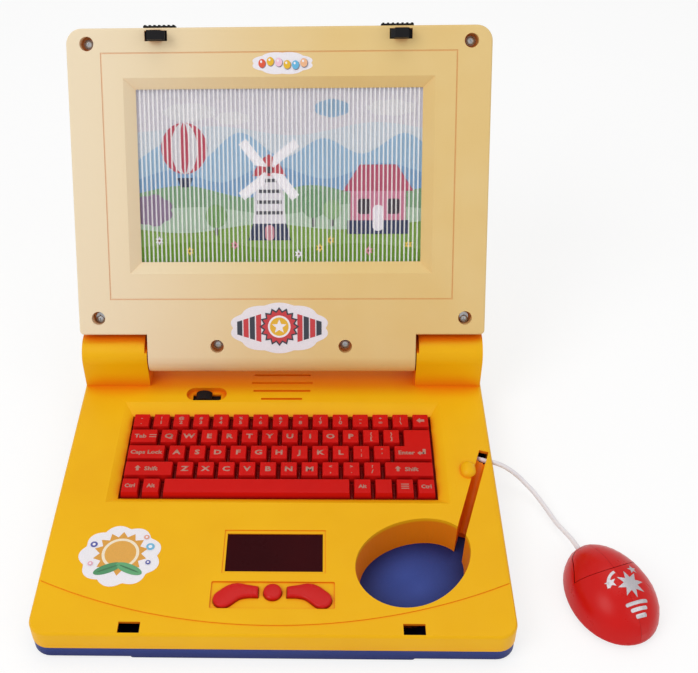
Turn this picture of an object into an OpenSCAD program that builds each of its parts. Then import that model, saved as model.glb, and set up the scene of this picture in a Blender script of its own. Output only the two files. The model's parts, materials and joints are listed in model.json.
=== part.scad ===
// Toy laptop computer: a yellow and blue base with a red key panel, a cream
// lid that holds a ribbed picture screen, and a corded red mouse.
// The origin is the middle of the underside. +X is to the right, +Y to the
// rear, +Z up. The lid is drawn closed and turned open about the hinge.

/* [Base] */
// Width of the base
base_w = 270; // [268:1:276]
// Depth of the base, front to rear
base_d = 230; // [229:1:236]
// Height of the deck above the table
deck_z = 23; // [22.5:0.5:25]
// Height of the seam between the blue and the yellow shell
seam_z = 9.5; // [9:0.25:10]
// Corner radius of the base
base_r = 11; // [8:1:14]
// Wall thickness of the shells
wall = 2.2; // [1.8:0.1:2.4]

/* [Keyboard] */
// Width of one key unit
key_pitch = 13.12; // [12.6:0.02:13.14]
// Depth of one key row
row_pitch = 14.3; // [13.8:0.1:14.4]
// Distance that the key panel can be pressed
key_travel = 1; // [0.6:0.1:1.2]

/* [Hinge and lid] */
// Height of the hinge axis above the table
hinge_z = 42.2; // [42:0.1:43]
// Distance from the base's rear edge to the hinge axis
hinge_inset = 17.85; // [17.5:0.05:19]
// Radius of the hinge towers
tower_r = 13.6; // [12.5:0.1:13.8]
// Radius of the hinge pins
pin_r = 3; // [2.5:0.1:3.5]
// Angle that the lid stands open
open_angle = 118.7; // [95:0.1:125]
// Width of the lid
lid_w = 269.2; // [266:0.2:270]
// Thickness of the lid
lid_t = 22; // [21:0.5:23]
// Gap between the deck and the closed lid
lid_gap = 5; // [4.8:0.1:5.4]

/* [Mouse] */
// Length of the mouse
mouse_l = 66.6; // [62:0.2:70]
// Width of the mouse
mouse_w = 48.2; // [44:0.2:50]
// Height of the mouse
mouse_h = 28; // [26:0.5:30]
// Diameter of the cord
cord_d = 2.5; // [2:0.1:2.8]

/* [Hidden] */
$fn = 48;
yellow = "#F2B60E";
blue = "#3F55A8";
red = "#C8130F";
cream = "#EBD3A6";
black = "#141416";
steel = "#B9BCC0";
big = 400;              // longer than any cut
eps = 0.01;             // overlap that merges two bodies
slack = 0.25;           // clearance round a piece that slides

// Base
base_front = -base_d / 2;
deck_under = deck_z - wall;
deck_edge = 2.5;        // rounding of the deck's edge
floor_t = 3;
belly_w = 160;          // lower middle part of the underside
belly_h = 1.2;
blue_edge = 1;          // rounding of the lower edges
crease_r = 320;         // shallow step that sweeps across the front
crease_depth = 0.5;
crease_lowest = base_front + 6.7;

// Keyboard, rows from the rear: the width of each key in units
key_rows = [
    [1, 1, 1, 1, 1, 1, 1, 1, 1, 1, 1, 1, 1, 1, 1],
    [1.5, 1, 1, 1, 1, 1, 1, 1, 1, 1, 1, 1, 1, 1.5],
    [2, 1, 1, 1, 1, 1, 1, 1, 1, 1, 1, 1, 2],
    [2.5, 1, 1, 1, 1, 1, 1, 1, 1, 1, 1, 2.5],
    [1, 1, 9, 1, 1, 1, 1]];
row_units = 15;
keys_w = row_units * key_pitch;
keys_d = len(key_rows) * row_pitch;
keys_y = 21.2;          // middle of the key field
key_gap = 1.7;          // between two keys at their feet
key_side = 0.75;        // how far a key's side leans in
key_front = 1.8;        // how far its front leans in
key_back = 0.7;
key_top_z = deck_z + 0.1;
well_margin = 0.35;     // from the keys to the well
well_z = deck_z - 3.5;  // foot of the sloping frame
well_lip_z = deck_z - 6;
frame_side = 6.3;       // how wide the sloping frame is
frame_front = 5.8;
frame_back = 10.3;
flange = 1.6;           // edge of the key panel under the deck
panel_t = 1.2;
mat_t = 1.2;
board_t = 1.6;
panel_z = well_lip_z - panel_t;
dome_h = 1.6;
key_board_z = panel_z - key_travel - dome_h - mat_t - board_t;

// Display and its three buttons
display = [0, base_front + 56.9, 56.4, 27.6];   // x, y, width, depth
display_drop = 0.6;
panel_w = 70.2;
panel_d = 18.3;
panel_y = base_front + 26.65;
panel_drop = 0.8;
button_top_z = deck_z + 1.7;
button_travel = 1.2;
button_flange = 0.9;
button_rim = 1.4;       // thickness of that flange
button_edge = 1.4;      // rounding of the upper edges
button_board_z = deck_under - 8.5;
eyebrow = [[-27.8, base_front + 23.4, 5.7], [-21.5, base_front + 28.4, 5.5],
    [-15, base_front + 28.9, 4.1], [-8, base_front + 28.4, 3.4]];
eyebrow_end = -8;
round_button = [0, base_front + 28.4, 5.3];

// Power switch and speaker
switch_pos = [-50.9, base_d / 2 - 39.5];
switch_pill = [27.3, 12.3];
switch_drop = 3.4;
switch_slot = [19, 6];
switch_travel = 4;
knob = [11, 8, 3];      // width, depth and height of the switch's knob
switch_posts = 30;      // between the two posts that carry the switch
post_r = 2;
knob_plate = switch_posts - 2 * post_r - switch_travel - 2 * slack - 0.3;
speaker_y = base_d / 2 - 28.5;
speaker_r = 17.5;
groove_pitch = 7.85;
speaker_groove = 1.5;   // depth of the grooves over the speaker
groove_r = 21;

// Mouse tray, cable groove and cord exit
tray = [81.3, base_front + 51.8];
tray_turn = 38.4;
tray_long = 36.5;
tray_wide = 28.7;
tray_draft = 2.6;       // how much the tray narrows on the way down
egg_taper = 0.1;
groove_mid = [117.2, base_front + 96];
groove_turn = -17.2;
groove_w = 6;
groove_ends = [-36, 38.5];
groove_mouth = -26;     // where its side walls begin, inside the tray
groove_foot = -12;      // where its sloping floor comes down to the tray's level
groove_window = 5.5;    // length of the opening that the cord crosses
groove_depth_z = [floor_t + 0.5, deck_z - 3.6];
exit_y = base_front + 131.8;
exit_z = deck_z - 3.4;
bump = [118.6, base_front + 121.5, 5];
bump_stretch = 1.8;     // half of what makes it longer than it is wide

// Latches
latch_x = [73, 81.6];   // body of the hook
latch_barb = 2.6;
latch_travel = 2.5;
latch_y = [base_front + 2, base_front + 7.9];
slot_x = [72.3, 84.4];
slot_y = [base_front + 1.4, base_front + 8.5];
barb_h = 2.4;

// Hinge towers
hinge_y = base_d / 2 - hinge_inset;
tower_x = [90.2, base_w / 2 - 1];
tower_notch = 1.6;
pin_x = [tower_x[0] - 11.2, tower_x[0] + 9.8];

// Lid, in its closed place
bezel_z = deck_z + lid_gap;
lid_top_z = bezel_z + lid_t;
lid_seam_z = bezel_z + 11;
lid_rear = hinge_y - tower_r - 0.85;
lid_front = base_front;
lid_r = 10;
lid_rear_r = 3;
lid_edge = 3;           // rounding of the lid's back edge
bezel_edge = 1.2;
tongue_w = 2 * tower_x[0] - 1.6;
hinge_boss = 12.5;      // length of the lid's bosses on the hinge pins
heel = 12.9;            // from the hinge axis to the tongue's end
heel_low_r = 12.5;
heel_top_r = 7;
window_w = 183.9;
window_d = 111.5;
window_y = [lid_front + 37.9, lid_front + 37.9 + window_d];
bevel_w = 7.2;
bevel_depth = 5;
step_w = 226.1;
step_y = [lid_front + 15, lid_rear - 23.8];
step_line = 0.8;
rib_pitch = 2.8;
rib_h = 0.9;
lens_t = 2;
card_t = 0.5;
backing_t = 2;
lens_z = bezel_z + bevel_depth;
screw_well_r = 4.5;
lid_screw_at = [[-121.5, lid_front + 9.5], [121.5, lid_front + 9.5],
    [-121.5, lid_rear - 11.3], [121.5, lid_rear - 11.3],
    [-42.7, hinge_y - 6.6], [42.7, hinge_y - 6.6]];

// Screws: radius and height of the head, radius and length of the shank
head_r = 2.9;
head_h = 1.8;
shank_r = 1.3;
shank_l = 9;
base_screw_at = [[-122, base_front + 15], [122, base_front + 15],
    [-126, base_front + 103], [126, base_front + 78],
    [-84, hinge_y + 8], [84, hinge_y + 8]];

// Batteries
cell_r = 7.1;
cell_l = 50;
cell_pitch = 15;
contact_w = 9;
cell_at = [-107, base_front + 59];
cell_z = floor_t + cell_r + 0.6;
bay_w = 3 * cell_pitch + 1.5;
bay_d = cell_l + 6;
bay_top = cell_z + cell_r + 0.4;
bay_wall = 1.5;
door_lip = 2;           // ledge that the battery door rests on
door_top_z = floor_t - 0.4;
door_screw_y = cell_at[1] - bay_d / 2 - 4.5;

// Mouse, in its own frame: nose towards +Y
mouse_at = [193.1, base_front + 41.6];
mouse_turn = 20.3;
mouse_skirt_z = 4.5;
mouse_wall = 1.8;
seam_gap = 0.12;
button_arc = [40, 38];  // centre and radius of the line behind the buttons
button_gap = 0.35;
nose_z = 6.5;
mouse_board_z = 8;

// Cord, from inside the base to inside the mouse
cord_path = [[119, 27, 14.5], [122, 24, 16], [125.5, 21.3, 18],
    [129.2, 18.6, 19.3], [133, 17, 19.6], [137, 16.2, 19.4],
    [142, 14.8, 18], [147, 13, 15.6], [152, 10.7, 12.4], [156.5, 7.4, 9.2],
    [160.5, 3.4, 7], [164, -1.8, 5.2], [167, -7.6, 4.2], [169.6, -13.6, 3.8],
    [172, -19.6, 3.8], [174.7, -25.4, 4.6], [177.1, -30.8, 5.6],
    [179.2, -36.2, 6.3], [181.3, -41.8, 6.5], [183.2, -46.9, 6.5]];

// ---------- shared shapes ----------

function arc(c, r, from, to, n = 12) =
    [for (i = [0 : n]) c + r * [cos(from + (to - from) * i / n), sin(from + (to - from) * i / n)]];

function egg(long, wide, taper = egg_taper, n = 72) =
    [for (i = [0 : n - 1]) let (a = 360 * i / n)
        [long * cos(a), wide * sin(a) * (1 - taper * cos(a))]];

module round_rect(w, d, r) {
    square([w - 2 * r, d], center = true);
    square([w, d - 2 * r], center = true);
    for (x = [-1, 1], y = [-1, 1])
        translate([x * (w / 2 - r), y * (d / 2 - r)]) circle(r = r);
}

// A box between two corners
module box(low, high) translate(low) cube(high - low);

// An outline drawn in Y and Z, pushed along X
module along_x(x0, x1) translate([x0, 0, 0]) rotate([90, 0, 90]) linear_extrude(x1 - x0) children();

// An outline drawn in X and Z, pushed along Y
module along_y(y0, y1) translate([0, y1, 0]) rotate([90, 0, 0]) linear_extrude(y1 - y0) children();

// A frustum with sloping sides between z0 and z1
module frustum(x0, x1, y0, y1, z0, z1) intersection() {
    along_y(min(y0[0], y1[0]) - 1, max(y0[1], y1[1]) + 1)
        polygon([[x0[0], z0], [x0[1], z0], [x1[1], z1], [x1[0], z1]]);
    along_x(min(x0[0], x1[0]) - 1, max(x0[1], x1[1]) + 1)
        polygon([[y0[0], z0], [y0[1], z0], [y1[1], z1], [y1[0], z1]]);
}

// A plate whose upper edge is rounded
module soft_plate(w, d, h, r, edge) hull() {
    linear_extrude(h - edge) round_rect(w, d, r, $fn = 32);
    for (a = [30, 60, 90])
        let (inset = edge * (1 - cos(a)))
            linear_extrude(h - edge + edge * sin(a))
                round_rect(w - 2 * inset, d - 2 * inset, r - inset, $fn = 32);
}

// A pan-head screw that points up from z = 0 (its shank starts there)
module screw(length = shank_l) {
    cylinder(r = shank_r, h = length);
    difference() {
        translate([0, 0, -head_h]) cylinder(r = head_r, h = head_h);
        for (a = [0, 90])
            rotate(a) translate([-1.7, -0.35, -head_h - eps]) cube([3.4, 0.7, 0.8]);
    }
}

module at(points) for (p = points) translate([p[0], p[1], 0]) children();

// Turns what is drawn on the closed lid to where the lid stands open
module opened() translate([0, hinge_y, hinge_z]) rotate([-open_angle, 0, 0])
    translate([0, -hinge_y, -hinge_z]) children();

// ---------- base ----------

module base_outline(inset = 0)
    round_rect(base_w - 2 * inset, base_d - 2 * inset, base_r - inset);

module tower_profile(inset, from_z) {
    r = tower_r - inset;
    polygon(concat([[hinge_y + r, from_z]], arc([hinge_y, hinge_z], r, 0, 180, 24),
        [[hinge_y - r, from_z]]));
}

module towers() intersection() {
    for (side = [0, 1]) mirror([side, 0, 0])
        difference() {
            along_x(tower_x[0], tower_x[1]) tower_profile(0, deck_z - 1);
            box([tower_x[0] - 1, hinge_y - tower_r - 1, hinge_z + 8],
                [tower_x[0] + tower_notch, hinge_y + tower_r + 1, big]);
        }
    linear_extrude(big) base_outline(1);
}

module tower_hollows() for (side = [0, 1]) mirror([side, 0, 0])
    along_x(tower_x[0] + wall + 1, tower_x[1] - wall) tower_profile(wall, deck_under - 1);

module key_well(grow, z0, z1)
    box([-keys_w / 2 - grow, keys_y - keys_d / 2 - grow, z0],
        [keys_w / 2 + grow, keys_y + keys_d / 2 + grow, z1]);

module key_well_cut() {
    half_w = keys_w / 2 + well_margin;
    low_y = keys_y - keys_d / 2 - well_margin;
    high_y = keys_y + keys_d / 2 + well_margin;
    over = 1 + 1 / (deck_z - well_z);
    key_well(well_margin, well_lip_z - 1, deck_z);
    frustum([-half_w, half_w],
        [-half_w - frame_side * over, half_w + frame_side * over],
        [low_y, high_y], [low_y - frame_front * over, high_y + frame_back * over],
        well_z, deck_z + 1);
}

// A point of a smooth curve through the points p, at t of the way from point i
function curve_point(p, i, t) = let (
    b = p[i],
    c = p[i + 1],
    a = i > 0 ? p[i - 1] : 2 * b - c,
    d = i + 2 < len(p) ? p[i + 2] : 2 * c - b)
    0.5 * (2 * b + (c - a) * t + (2 * a - 5 * b + 4 * c - d) * pow(t, 2)
        + (3 * b - a - 3 * c + d) * pow(t, 3));

// Middle line of an eyebrow button: x, y and half the height there
eyebrow_line = concat(
    [for (i = [0 : len(eyebrow) - 2], k = [0 : 3]) curve_point(eyebrow, i, k / 4)],
    [eyebrow[len(eyebrow) - 1]]);
eyebrow_last = len(eyebrow_line) - 1;
eyebrow_arc = 7;        // points round its outer end

function eyebrow_step(i) = eyebrow_line[min(i + 1, eyebrow_last)] - eyebrow_line[max(i - 1, 0)];
function eyebrow_lean(i) = let (d = eyebrow_step(i)) acos(-d[2] / norm([d[0], d[1]]));
function eyebrow_dir(i) = let (d = eyebrow_step(i)) atan2(d[1], d[0]);
function eyebrow_out(i, angle, grow) = let (p = eyebrow_line[i], r = p[2] + grow)
    [i == eyebrow_last ? eyebrow_end + grow : p[0] + r * cos(angle), p[1] + r * sin(angle)];

// Its outline: the upper side from the inner end, the outer end, the lower side
function eyebrow_outline(grow) = concat(
    [for (i = [eyebrow_last : -1 : 0]) eyebrow_out(i, eyebrow_dir(i) + eyebrow_lean(i), grow)],
    [for (k = [1 : eyebrow_arc]) eyebrow_out(0, eyebrow_dir(0) + eyebrow_lean(0)
        + k * (360 - 2 * eyebrow_lean(0)) / (eyebrow_arc + 1), grow)],
    [for (i = [0 : eyebrow_last]) eyebrow_out(i, eyebrow_dir(i) - eyebrow_lean(i), grow)]);

module eyebrow_shape(grow = 0) polygon(eyebrow_outline(grow));

module pill(w, d) {
    square([w - d, d], center = true);
    for (x = [-1, 1]) translate([x * (w - d) / 2, 0]) circle(r = d / 2);
}

module tray_shape(grow = 0) translate(tray) rotate(tray_turn)
    polygon(egg(tray_long + grow, tray_wide + grow));

// The tray narrows towards its floor, so that the moulding leaves its tool
module tray_bowl(grow, z0, z1) {
    slope = tray_draft / (deck_z - floor_t);
    hull() for (z = [z0, z1]) translate([0, 0, z])
        linear_extrude(eps) tray_shape(grow - (deck_z - z) * slope);
}

// The groove's side view along its own length: open above its sloping floor
module groove_side(lower) polygon([
    [groove_foot, groove_depth_z[0] - lower], [groove_ends[1], groove_depth_z[1] - lower],
    [groove_ends[1] + max(lower, 0), deck_z + 1], [groove_foot, deck_z + 1]]);

module in_groove() translate([groove_mid[0], groove_mid[1], 0]) rotate(groove_turn) children();

module groove_body() in_groove() {
    half = groove_w / 2 + wall;
    rotate([90, 0, 90]) translate([0, 0, -half]) linear_extrude(2 * half) intersection() {
        groove_side(wall);
        translate([groove_foot, floor_t])
            square([groove_ends[1] - groove_foot + wall, deck_under + 1 - floor_t]);
    }
    box([-half, groove_mouth, floor_t], [half, groove_foot + eps, deck_under + 1]);
}

module groove_cut() {
    half = groove_w / 2;
    slope = atan2(groove_depth_z[1] - groove_depth_z[0], groove_ends[1] - groove_foot);
    run = (groove_ends[1] - groove_foot) / cos(slope);
    in_groove() {
        rotate([90, 0, 90]) translate([0, 0, 0.05 - half])
            linear_extrude(groove_w - 0.1) groove_side(-half);
        translate([0, groove_foot, groove_depth_z[0] + half]) rotate([slope - 90, 0, 0])
            cylinder(r = half, h = run);
        box([-half, groove_ends[0], floor_t - 1], [half, groove_foot, deck_z + 1]);
        // window at the groove's end, where the cord crosses
        box([-half, groove_ends[1] - 1, deck_under - 4], [half, groove_ends[1] + groove_window, deck_z + 1]);
    }
}

module speaker_grooves() for (i = [-2 : 2])
    let (half = sqrt(groove_r * groove_r - pow(i * groove_pitch, 2)))
        translate([0, speaker_y + i * groove_pitch, deck_z - speaker_groove])
            linear_extrude(2) pill(2 * half, 1.8);

module boss(r, z0, z1) translate([0, 0, z0]) cylinder(r = r, h = z1 - z0);

board_screw_at = [for (x = [-1, 1], y = [-1, 1])
    [x * (keys_w / 2 + 7), keys_y + y * (keys_d / 2 - 8)]];
display_posts = [for (x = [-1, 1], y = [-1, 1])
    [x * (display[2] / 2 + 5.5), display[1] + y * (display[3] / 2 - 3)]];
button_posts = [[-38.5, panel_y + 8], [38.5, panel_y + 8], [-38.5, panel_y - 8], [38.5, panel_y - 8]];
base_boss_z = 5.5;      // where the upper shell's screw bosses end

// Long low hump beside the groove; it ends below the closed lid
module deck_bump() translate([bump[0], bump[1], deck_z]) intersection() {
    hull() for (end = [-1, 1])
        translate([0, end * bump_stretch, -0.6]) sphere(r = bump[2], $fn = 20);
    translate([-big / 2, -big / 2, -1]) cube(big);
}

module base_top_shell() color(yellow) difference() {
    union() {
        difference() {
            union() {
                translate([0, 0, seam_z])
                    soft_plate(base_w, base_d, deck_z - seam_z, base_r, deck_edge);
                towers();
            }
            translate([0, 0, seam_z - 1]) linear_extrude(deck_under - seam_z + 1) base_outline(wall);
            tower_hollows();
        }
        key_well(well_margin + wall, well_lip_z, deck_z - 1);
        key_frame_ledge();
        tray_bowl(wall, floor_t, deck_z - 1);
        groove_body();
        translate([switch_pos[0], switch_pos[1], deck_z - switch_drop - 1.6])
            linear_extrude(switch_drop + 0.6) pill(switch_pill[0] + 3, switch_pill[1] + 3);
        deck_bump();
        at(base_screw_at) boss(3.6, base_boss_z, deck_z - 1);
        at(board_screw_at) boss(3, key_board_z + board_t, deck_z - 1);
        at(display_posts) boss(2.5, button_board_z + board_t, deck_z - 1);
        at(button_posts) boss(2.2, button_board_z + board_t, deck_z - 1);
        for (x = [-1, 1]) translate([switch_pos[0] + x * switch_posts / 2, switch_pos[1], 0])
            boss(post_r, switch_ear_z, deck_z - 1);
        translate([clamp[0] - 1.5, clamp[1] + 1, 0]) boss(2.5, clamp[2], deck_z - 1);
        translate([0, speaker_y, deck_under - 3]) difference() {
            cylinder(r = speaker_r + 2, h = 3.5);
            translate([0, 0, -1]) cylinder(r = speaker_r + 0.4, h = 6);
        }
        for (side = [-1, 1]) translate([side * (tower_x[0] + 5.9), hinge_y, hinge_z])
            rotate([0, 90, 0]) cylinder(r = pin_r + 2.5, h = 7.8, center = true);
    }
    translate([0, 0, deck_z - crease_depth]) linear_extrude(1) difference() {
        translate([-big / 2, base_front - 1]) square([big, 60]);
        translate([0, crease_lowest + crease_r]) circle(r = crease_r, $fn = 240);
    }
    key_well_cut();
    box([display[0] - display[2] / 2, display[1] - display[3] / 2, deck_under - 4],
        [display[0] + display[2] / 2, display[1] + display[3] / 2, deck_z + 1]);
    box([-display[2] / 2 - 1.7, display[1] - display[3] / 2 - 1.4, deck_z - 0.5],
        [display[2] / 2 + 1.7, display[1] + display[3] / 2 + 2.4, deck_z + 1]);
    translate([0, panel_y, deck_z - panel_drop]) linear_extrude(2) round_rect(panel_w, panel_d, 1);
    translate([0, 0, deck_under - 1]) linear_extrude(4) {
        for (side = [0, 1]) mirror([side, 0, 0]) eyebrow_shape(slack);
        translate([round_button[0], round_button[1]]) circle(r = round_button[2] + slack);
    }
    tray_bowl(0, floor_t - 1, deck_z + 1);
    groove_cut();
    translate([groove_mid[0] + 12, exit_y, exit_z]) rotate([0, 90, 0]) cylinder(r = cord_d / 2 + 0.6, h = 20);
    speaker_grooves();
    translate([switch_pos[0], switch_pos[1], deck_z - switch_drop]) linear_extrude(5)
        pill(switch_pill[0], switch_pill[1]);
    translate([switch_pos[0], switch_pos[1], deck_z - 6]) linear_extrude(8)
        square(switch_slot, center = true);
    for (side = [0, 1]) mirror([side, 0, 0])
        box([slot_x[0], slot_y[0], deck_z - 7], [slot_x[1], slot_y[1], deck_z + 1]);
    at(base_screw_at) boss(shank_r, 0, base_boss_z + shank_l - 2);
    at(board_screw_at) boss(shank_r, 0, deck_under - 1);
    at(display_posts) boss(shank_r, 0, deck_under - 1);
    for (side = [-1, 1]) translate([side * (tower_x[0] + 5), hinge_y, hinge_z])
        rotate([0, 90, 0]) cylinder(r = pin_r, h = 12, center = true);
}

// Thickening of the deck under the sloping frame round the keys
module key_frame_ledge()
    box([-keys_w / 2 - well_margin - frame_side - 1, keys_y - keys_d / 2 - frame_front - 1, deck_under - 2.2],
        [keys_w / 2 + well_margin + frame_side + 1, keys_y + keys_d / 2 + frame_back + 1, deck_under + eps]);

module bay_box(grow, z0, z1)
    box([cell_at[0] - bay_w / 2 - grow, cell_at[1] - bay_d / 2 - grow, z0],
        [cell_at[0] + bay_w / 2 + grow, cell_at[1] + bay_d / 2 + grow, z1]);

module base_bottom_shell() color(blue) difference() {
    union() {
        difference() {
            union() {
                translate([0, 0, seam_z]) mirror([0, 0, 1])
                    soft_plate(base_w - 0.4, base_d - 0.4, seam_z - belly_h, base_r, blue_edge);
                translate([0, 0, belly_h + blue_edge + eps]) mirror([0, 0, 1])
                    soft_plate(belly_w, base_d - 0.4, belly_h + blue_edge + eps, 2.5, blue_edge);
            }
            translate([0, 0, seam_z + 1]) mirror([0, 0, 1])
                soft_plate(base_w - 2 * wall, base_d - 2 * wall, seam_z + 1 - floor_t,
                    base_r - wall, blue_edge);
        }
        // lip that locates the upper shell
        translate([0, 0, seam_z - 3]) linear_extrude(3) difference() {
            base_outline(wall - 0.5);
            base_outline(wall + 1.4);
        }
        translate([0, 0, seam_z - 1]) linear_extrude(2.5) difference() {
            base_outline(wall + 0.1);
            base_outline(wall + 1.4);
        }
        at(base_screw_at) boss(5, floor_t - 1, base_boss_z);
        bay_box(bay_wall, floor_t - eps, bay_top + bay_wall);
        door_plate(2.5, belly_h, floor_t + 1);
    }
    bay_box(0, floor_t + 1, bay_top);
    bay_box(-door_lip, -1, bay_top);
    door_plate(slack, -1, door_top_z);
    at(base_screw_at) {
        boss(shank_r + 0.2, -1, base_boss_z + 1);
        boss(head_r + 0.3, -1, base_boss_z - 1.6);
    }
    translate([cell_at[0], door_screw_y, 0]) boss(shank_r, -1, 12);
}

module door_plate(grow, z0, z1) box(
    [cell_at[0] - bay_w / 2 - grow + 1, door_screw_y - 4 - grow, z0],
    [cell_at[0] + bay_w / 2 + grow - 1, cell_at[1] + bay_d / 2 - 0.5 + grow, z1]);

module battery_door() color(blue) difference() {
    door_plate(0, belly_h, door_top_z);
    translate([cell_at[0], door_screw_y, 0]) boss(shank_r + 0.2, -1, 12);
    translate([cell_at[0], door_screw_y, 0]) boss(head_r + 0.3, -1, belly_h + 0.5);
}

module battery_door_screw() color(steel)
    translate([cell_at[0], door_screw_y, belly_h + 0.5]) screw(5);

module cell() {
    rotate([-90, 0, 0]) cylinder(r = cell_r, h = cell_l - 1.2);
    translate([0, cell_l - 1.2 - eps, 0]) rotate([-90, 0, 0]) cylinder(r = 2.6, h = 1.2);
}

module base_screws() color(steel) at(base_screw_at)
    translate([0, 0, base_boss_z - 1.6]) screw(8);

module batteries() color("#2E7D4F")
    for (i = [-1 : 1])
        translate([cell_at[0] + i * cell_pitch, cell_at[1], cell_z])
            rotate(i * 180) translate([0, -cell_l / 2, 0]) cell();

// A flat spring strip at each end of the bay
module battery_contacts() color(steel)
    for (side = [-1, 1], i = [-1 : 1])
        translate([cell_at[0] + i * cell_pitch, cell_at[1] + side * cell_l / 2, cell_z])
            for (blade = [0, 1]) translate([0, side * (0.2 + blade * 2.4), 0])
                cube([contact_w - blade * 2, 0.4 + blade * 0.2, contact_w], center = true);

// ---------- keys ----------

function row_start(row, i) = i == 0 ? 0 : row[i - 1] + row_start(row, i - 1);

// One sculpted key: it leans in on all sides, most at its front
module key_cap(x0, x1, y0, y1) {
    low = panel_z + panel_t - eps;
    frustum([x0 + key_gap / 2, x1 - key_gap / 2],
        [x0 + key_gap / 2 + key_side, x1 - key_gap / 2 - key_side],
        [y0 + 0.3, y1 - 0.3], [y0 + 0.3 + key_front, y1 - 0.3 - key_back],
        low, key_top_z);
}

module key_caps() for (r = [0 : len(key_rows) - 1], i = [0 : len(key_rows[r]) - 1]) {
    x0 = -keys_w / 2 + row_start(key_rows[r], i) * key_pitch;
    y1 = keys_y + keys_d / 2 - r * row_pitch;
    key_cap(x0, x0 + key_rows[r][i] * key_pitch, y1 - row_pitch, y1);
}

// The Enter key fills the end of two rows
module enter_bridge() {
    y1 = keys_y + keys_d / 2 - row_pitch;
    x1 = keys_w / 2;
    key_cap(x1 - 1.5 * key_pitch, x1, y1 - 2 * row_pitch, y1);
}

module key_panel() color(red) union() {
    key_well(flange, panel_z, panel_z + panel_t);
    key_caps();
    enter_bridge();
}

key_dome_at = [for (r = [0 : len(key_rows) - 1], i = [0 : len(key_rows[r]) - 1])
    [-keys_w / 2 + (row_start(key_rows[r], i) + key_rows[r][i] / 2) * key_pitch,
        keys_y + keys_d / 2 - (r + 0.5) * row_pitch]];

// A rubber sheet with one dome under each key, drawn pressed down
module key_mat() color("#D8D4CC") {
    key_well(0, key_board_z + board_t, key_board_z + board_t + mat_t);
    at(key_dome_at) boss(3.2, key_board_z + board_t + mat_t - eps, panel_z - key_travel);
}

module key_board() color("#1E6B3A") difference() {
    box([-keys_w / 2 - 11, keys_y - keys_d / 2 - 1, key_board_z],
        [keys_w / 2 + 11, keys_y + keys_d / 2 + 1, key_board_z + board_t]);
    at(board_screw_at) boss(shank_r + 0.2, 0, big);
}

module sound_chip() color(black)
    translate([40, keys_y, key_board_z - 2]) cylinder(r1 = 4, r2 = 6, h = 2);

module board_screws() color(steel) {
    at(board_screw_at) translate([0, 0, key_board_z]) screw();
    at(display_posts) translate([0, 0, button_board_z]) screw(5);
}

// ---------- display, buttons, speaker and switch ----------

module display_lens() color([0.24, 0.04, 0.07, 0.9]) {
    x = display[2] / 2;
    y = display[3] / 2;
    box([-x + 0.05, display[1] - y + 0.05, deck_under - eps],
        [x - 0.05, display[1] + y - 0.05, deck_z - 0.5 - display_drop]);
    box([-x - 2, display[1] - y - 2, deck_under - 1.6], [x + 2, display[1] + y + 2, deck_under]);
}

module display_board() color("#1E6B3A") difference() {
    box([-43, panel_y - 11, button_board_z],
        [43, display[1] + display[3] / 2 + 4, button_board_z + board_t]);
    at(display_posts) boss(shank_r + 0.2, 0, big);
}

module display_leds() color("#D9A3A3") for (i = [-2 : 2])
    translate([i * 10, display[1], button_board_z + board_t]) {
        cylinder(r = 1.5, h = 2);
        translate([0, 0, 2 - eps]) cylinder(r = 1.3, h = 1);
    }

// A round slab with a soft upper edge
module soft_puck(c) for (a = [0, 30, 60, 90])
    translate([c[0], c[1], deck_under - 0.5])
        cylinder(r = c[2] - button_edge * (1 - cos(a)),
            h = button_top_z - deck_under + 0.5 - button_edge * (1 - sin(a)), $fn = 32);

module eyebrow_button() {
    m = eyebrow_last;
    n = 2 * (m + 1) + eyebrow_arc;
    lower = m + 1 + eyebrow_arc;    // where the outline's lower side starts
    levels = concat([[deck_under - 0.5, 0]], [for (a = [0, 30, 60, 90])
        [button_top_z - button_edge * (1 - sin(a)), button_edge * (1 - cos(a))]]);
    top = (len(levels) - 1) * n;
    end_cap = [for (i = [m : lower]) i];
    polyhedron(
        [for (v = levels, p = eyebrow_outline(-v[1])) [p[0], p[1], v[0]]],
        concat([for (s = [0 : m - 1]) [m - s - 1, m - s, lower + s, lower + s + 1]], [end_cap],
            [for (k = [0 : len(levels) - 2], i = [0 : n - 1]) let (j = (i + 1) % n)
                [k * n + j, k * n + i, (k + 1) * n + i, (k + 1) * n + j]],
            [for (s = [0 : m - 1]) [top + lower + s + 1, top + lower + s, top + m - s, top + m - s - 1]],
            [[for (i = [len(end_cap) - 1 : -1 : 0]) top + end_cap[i]]]));
    translate([0, 0, deck_under - button_rim]) linear_extrude(button_rim)
        eyebrow_shape(button_flange);
}

module left_button() color(red) eyebrow_button();

module right_button() color(red) mirror([1, 0, 0]) eyebrow_button();

module center_button() color(red) {
    hull() soft_puck(round_button);
    translate([round_button[0], round_button[1], 0])
        boss(round_button[2] + button_flange, deck_under - button_rim, deck_under);
}

module button_mat() color("#D8D4CC") {
    mat_z = button_board_z + board_t;
    box([-33, panel_y - 8, mat_z], [33, panel_y + 8, mat_z + mat_t]);
    for (x = [-20.5, 0, 20.5]) translate([x, round_button[1], 0])
        boss(4, mat_z + mat_t - eps, deck_under - button_rim - button_travel);
}

speaker_depth = 10;

module speaker_basket() color(steel) translate([0, speaker_y, deck_under]) rotate_extrude()
    polygon([[speaker_r - 2, 0], [speaker_r, 0], [speaker_r, -1.2], [speaker_r - 2, -1.2],
        [9, -speaker_depth], [4, -speaker_depth], [4, -speaker_depth + 1], [8.4, -speaker_depth + 1]]);

module speaker_cone() color(black) translate([0, speaker_y, deck_under]) rotate_extrude()
    polygon([[speaker_r - 2.6, -0.4], [speaker_r - 3.4, -0.4], [4, -6.6], [0, -6.6], [0, -7], [4.2, -7]]);

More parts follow.
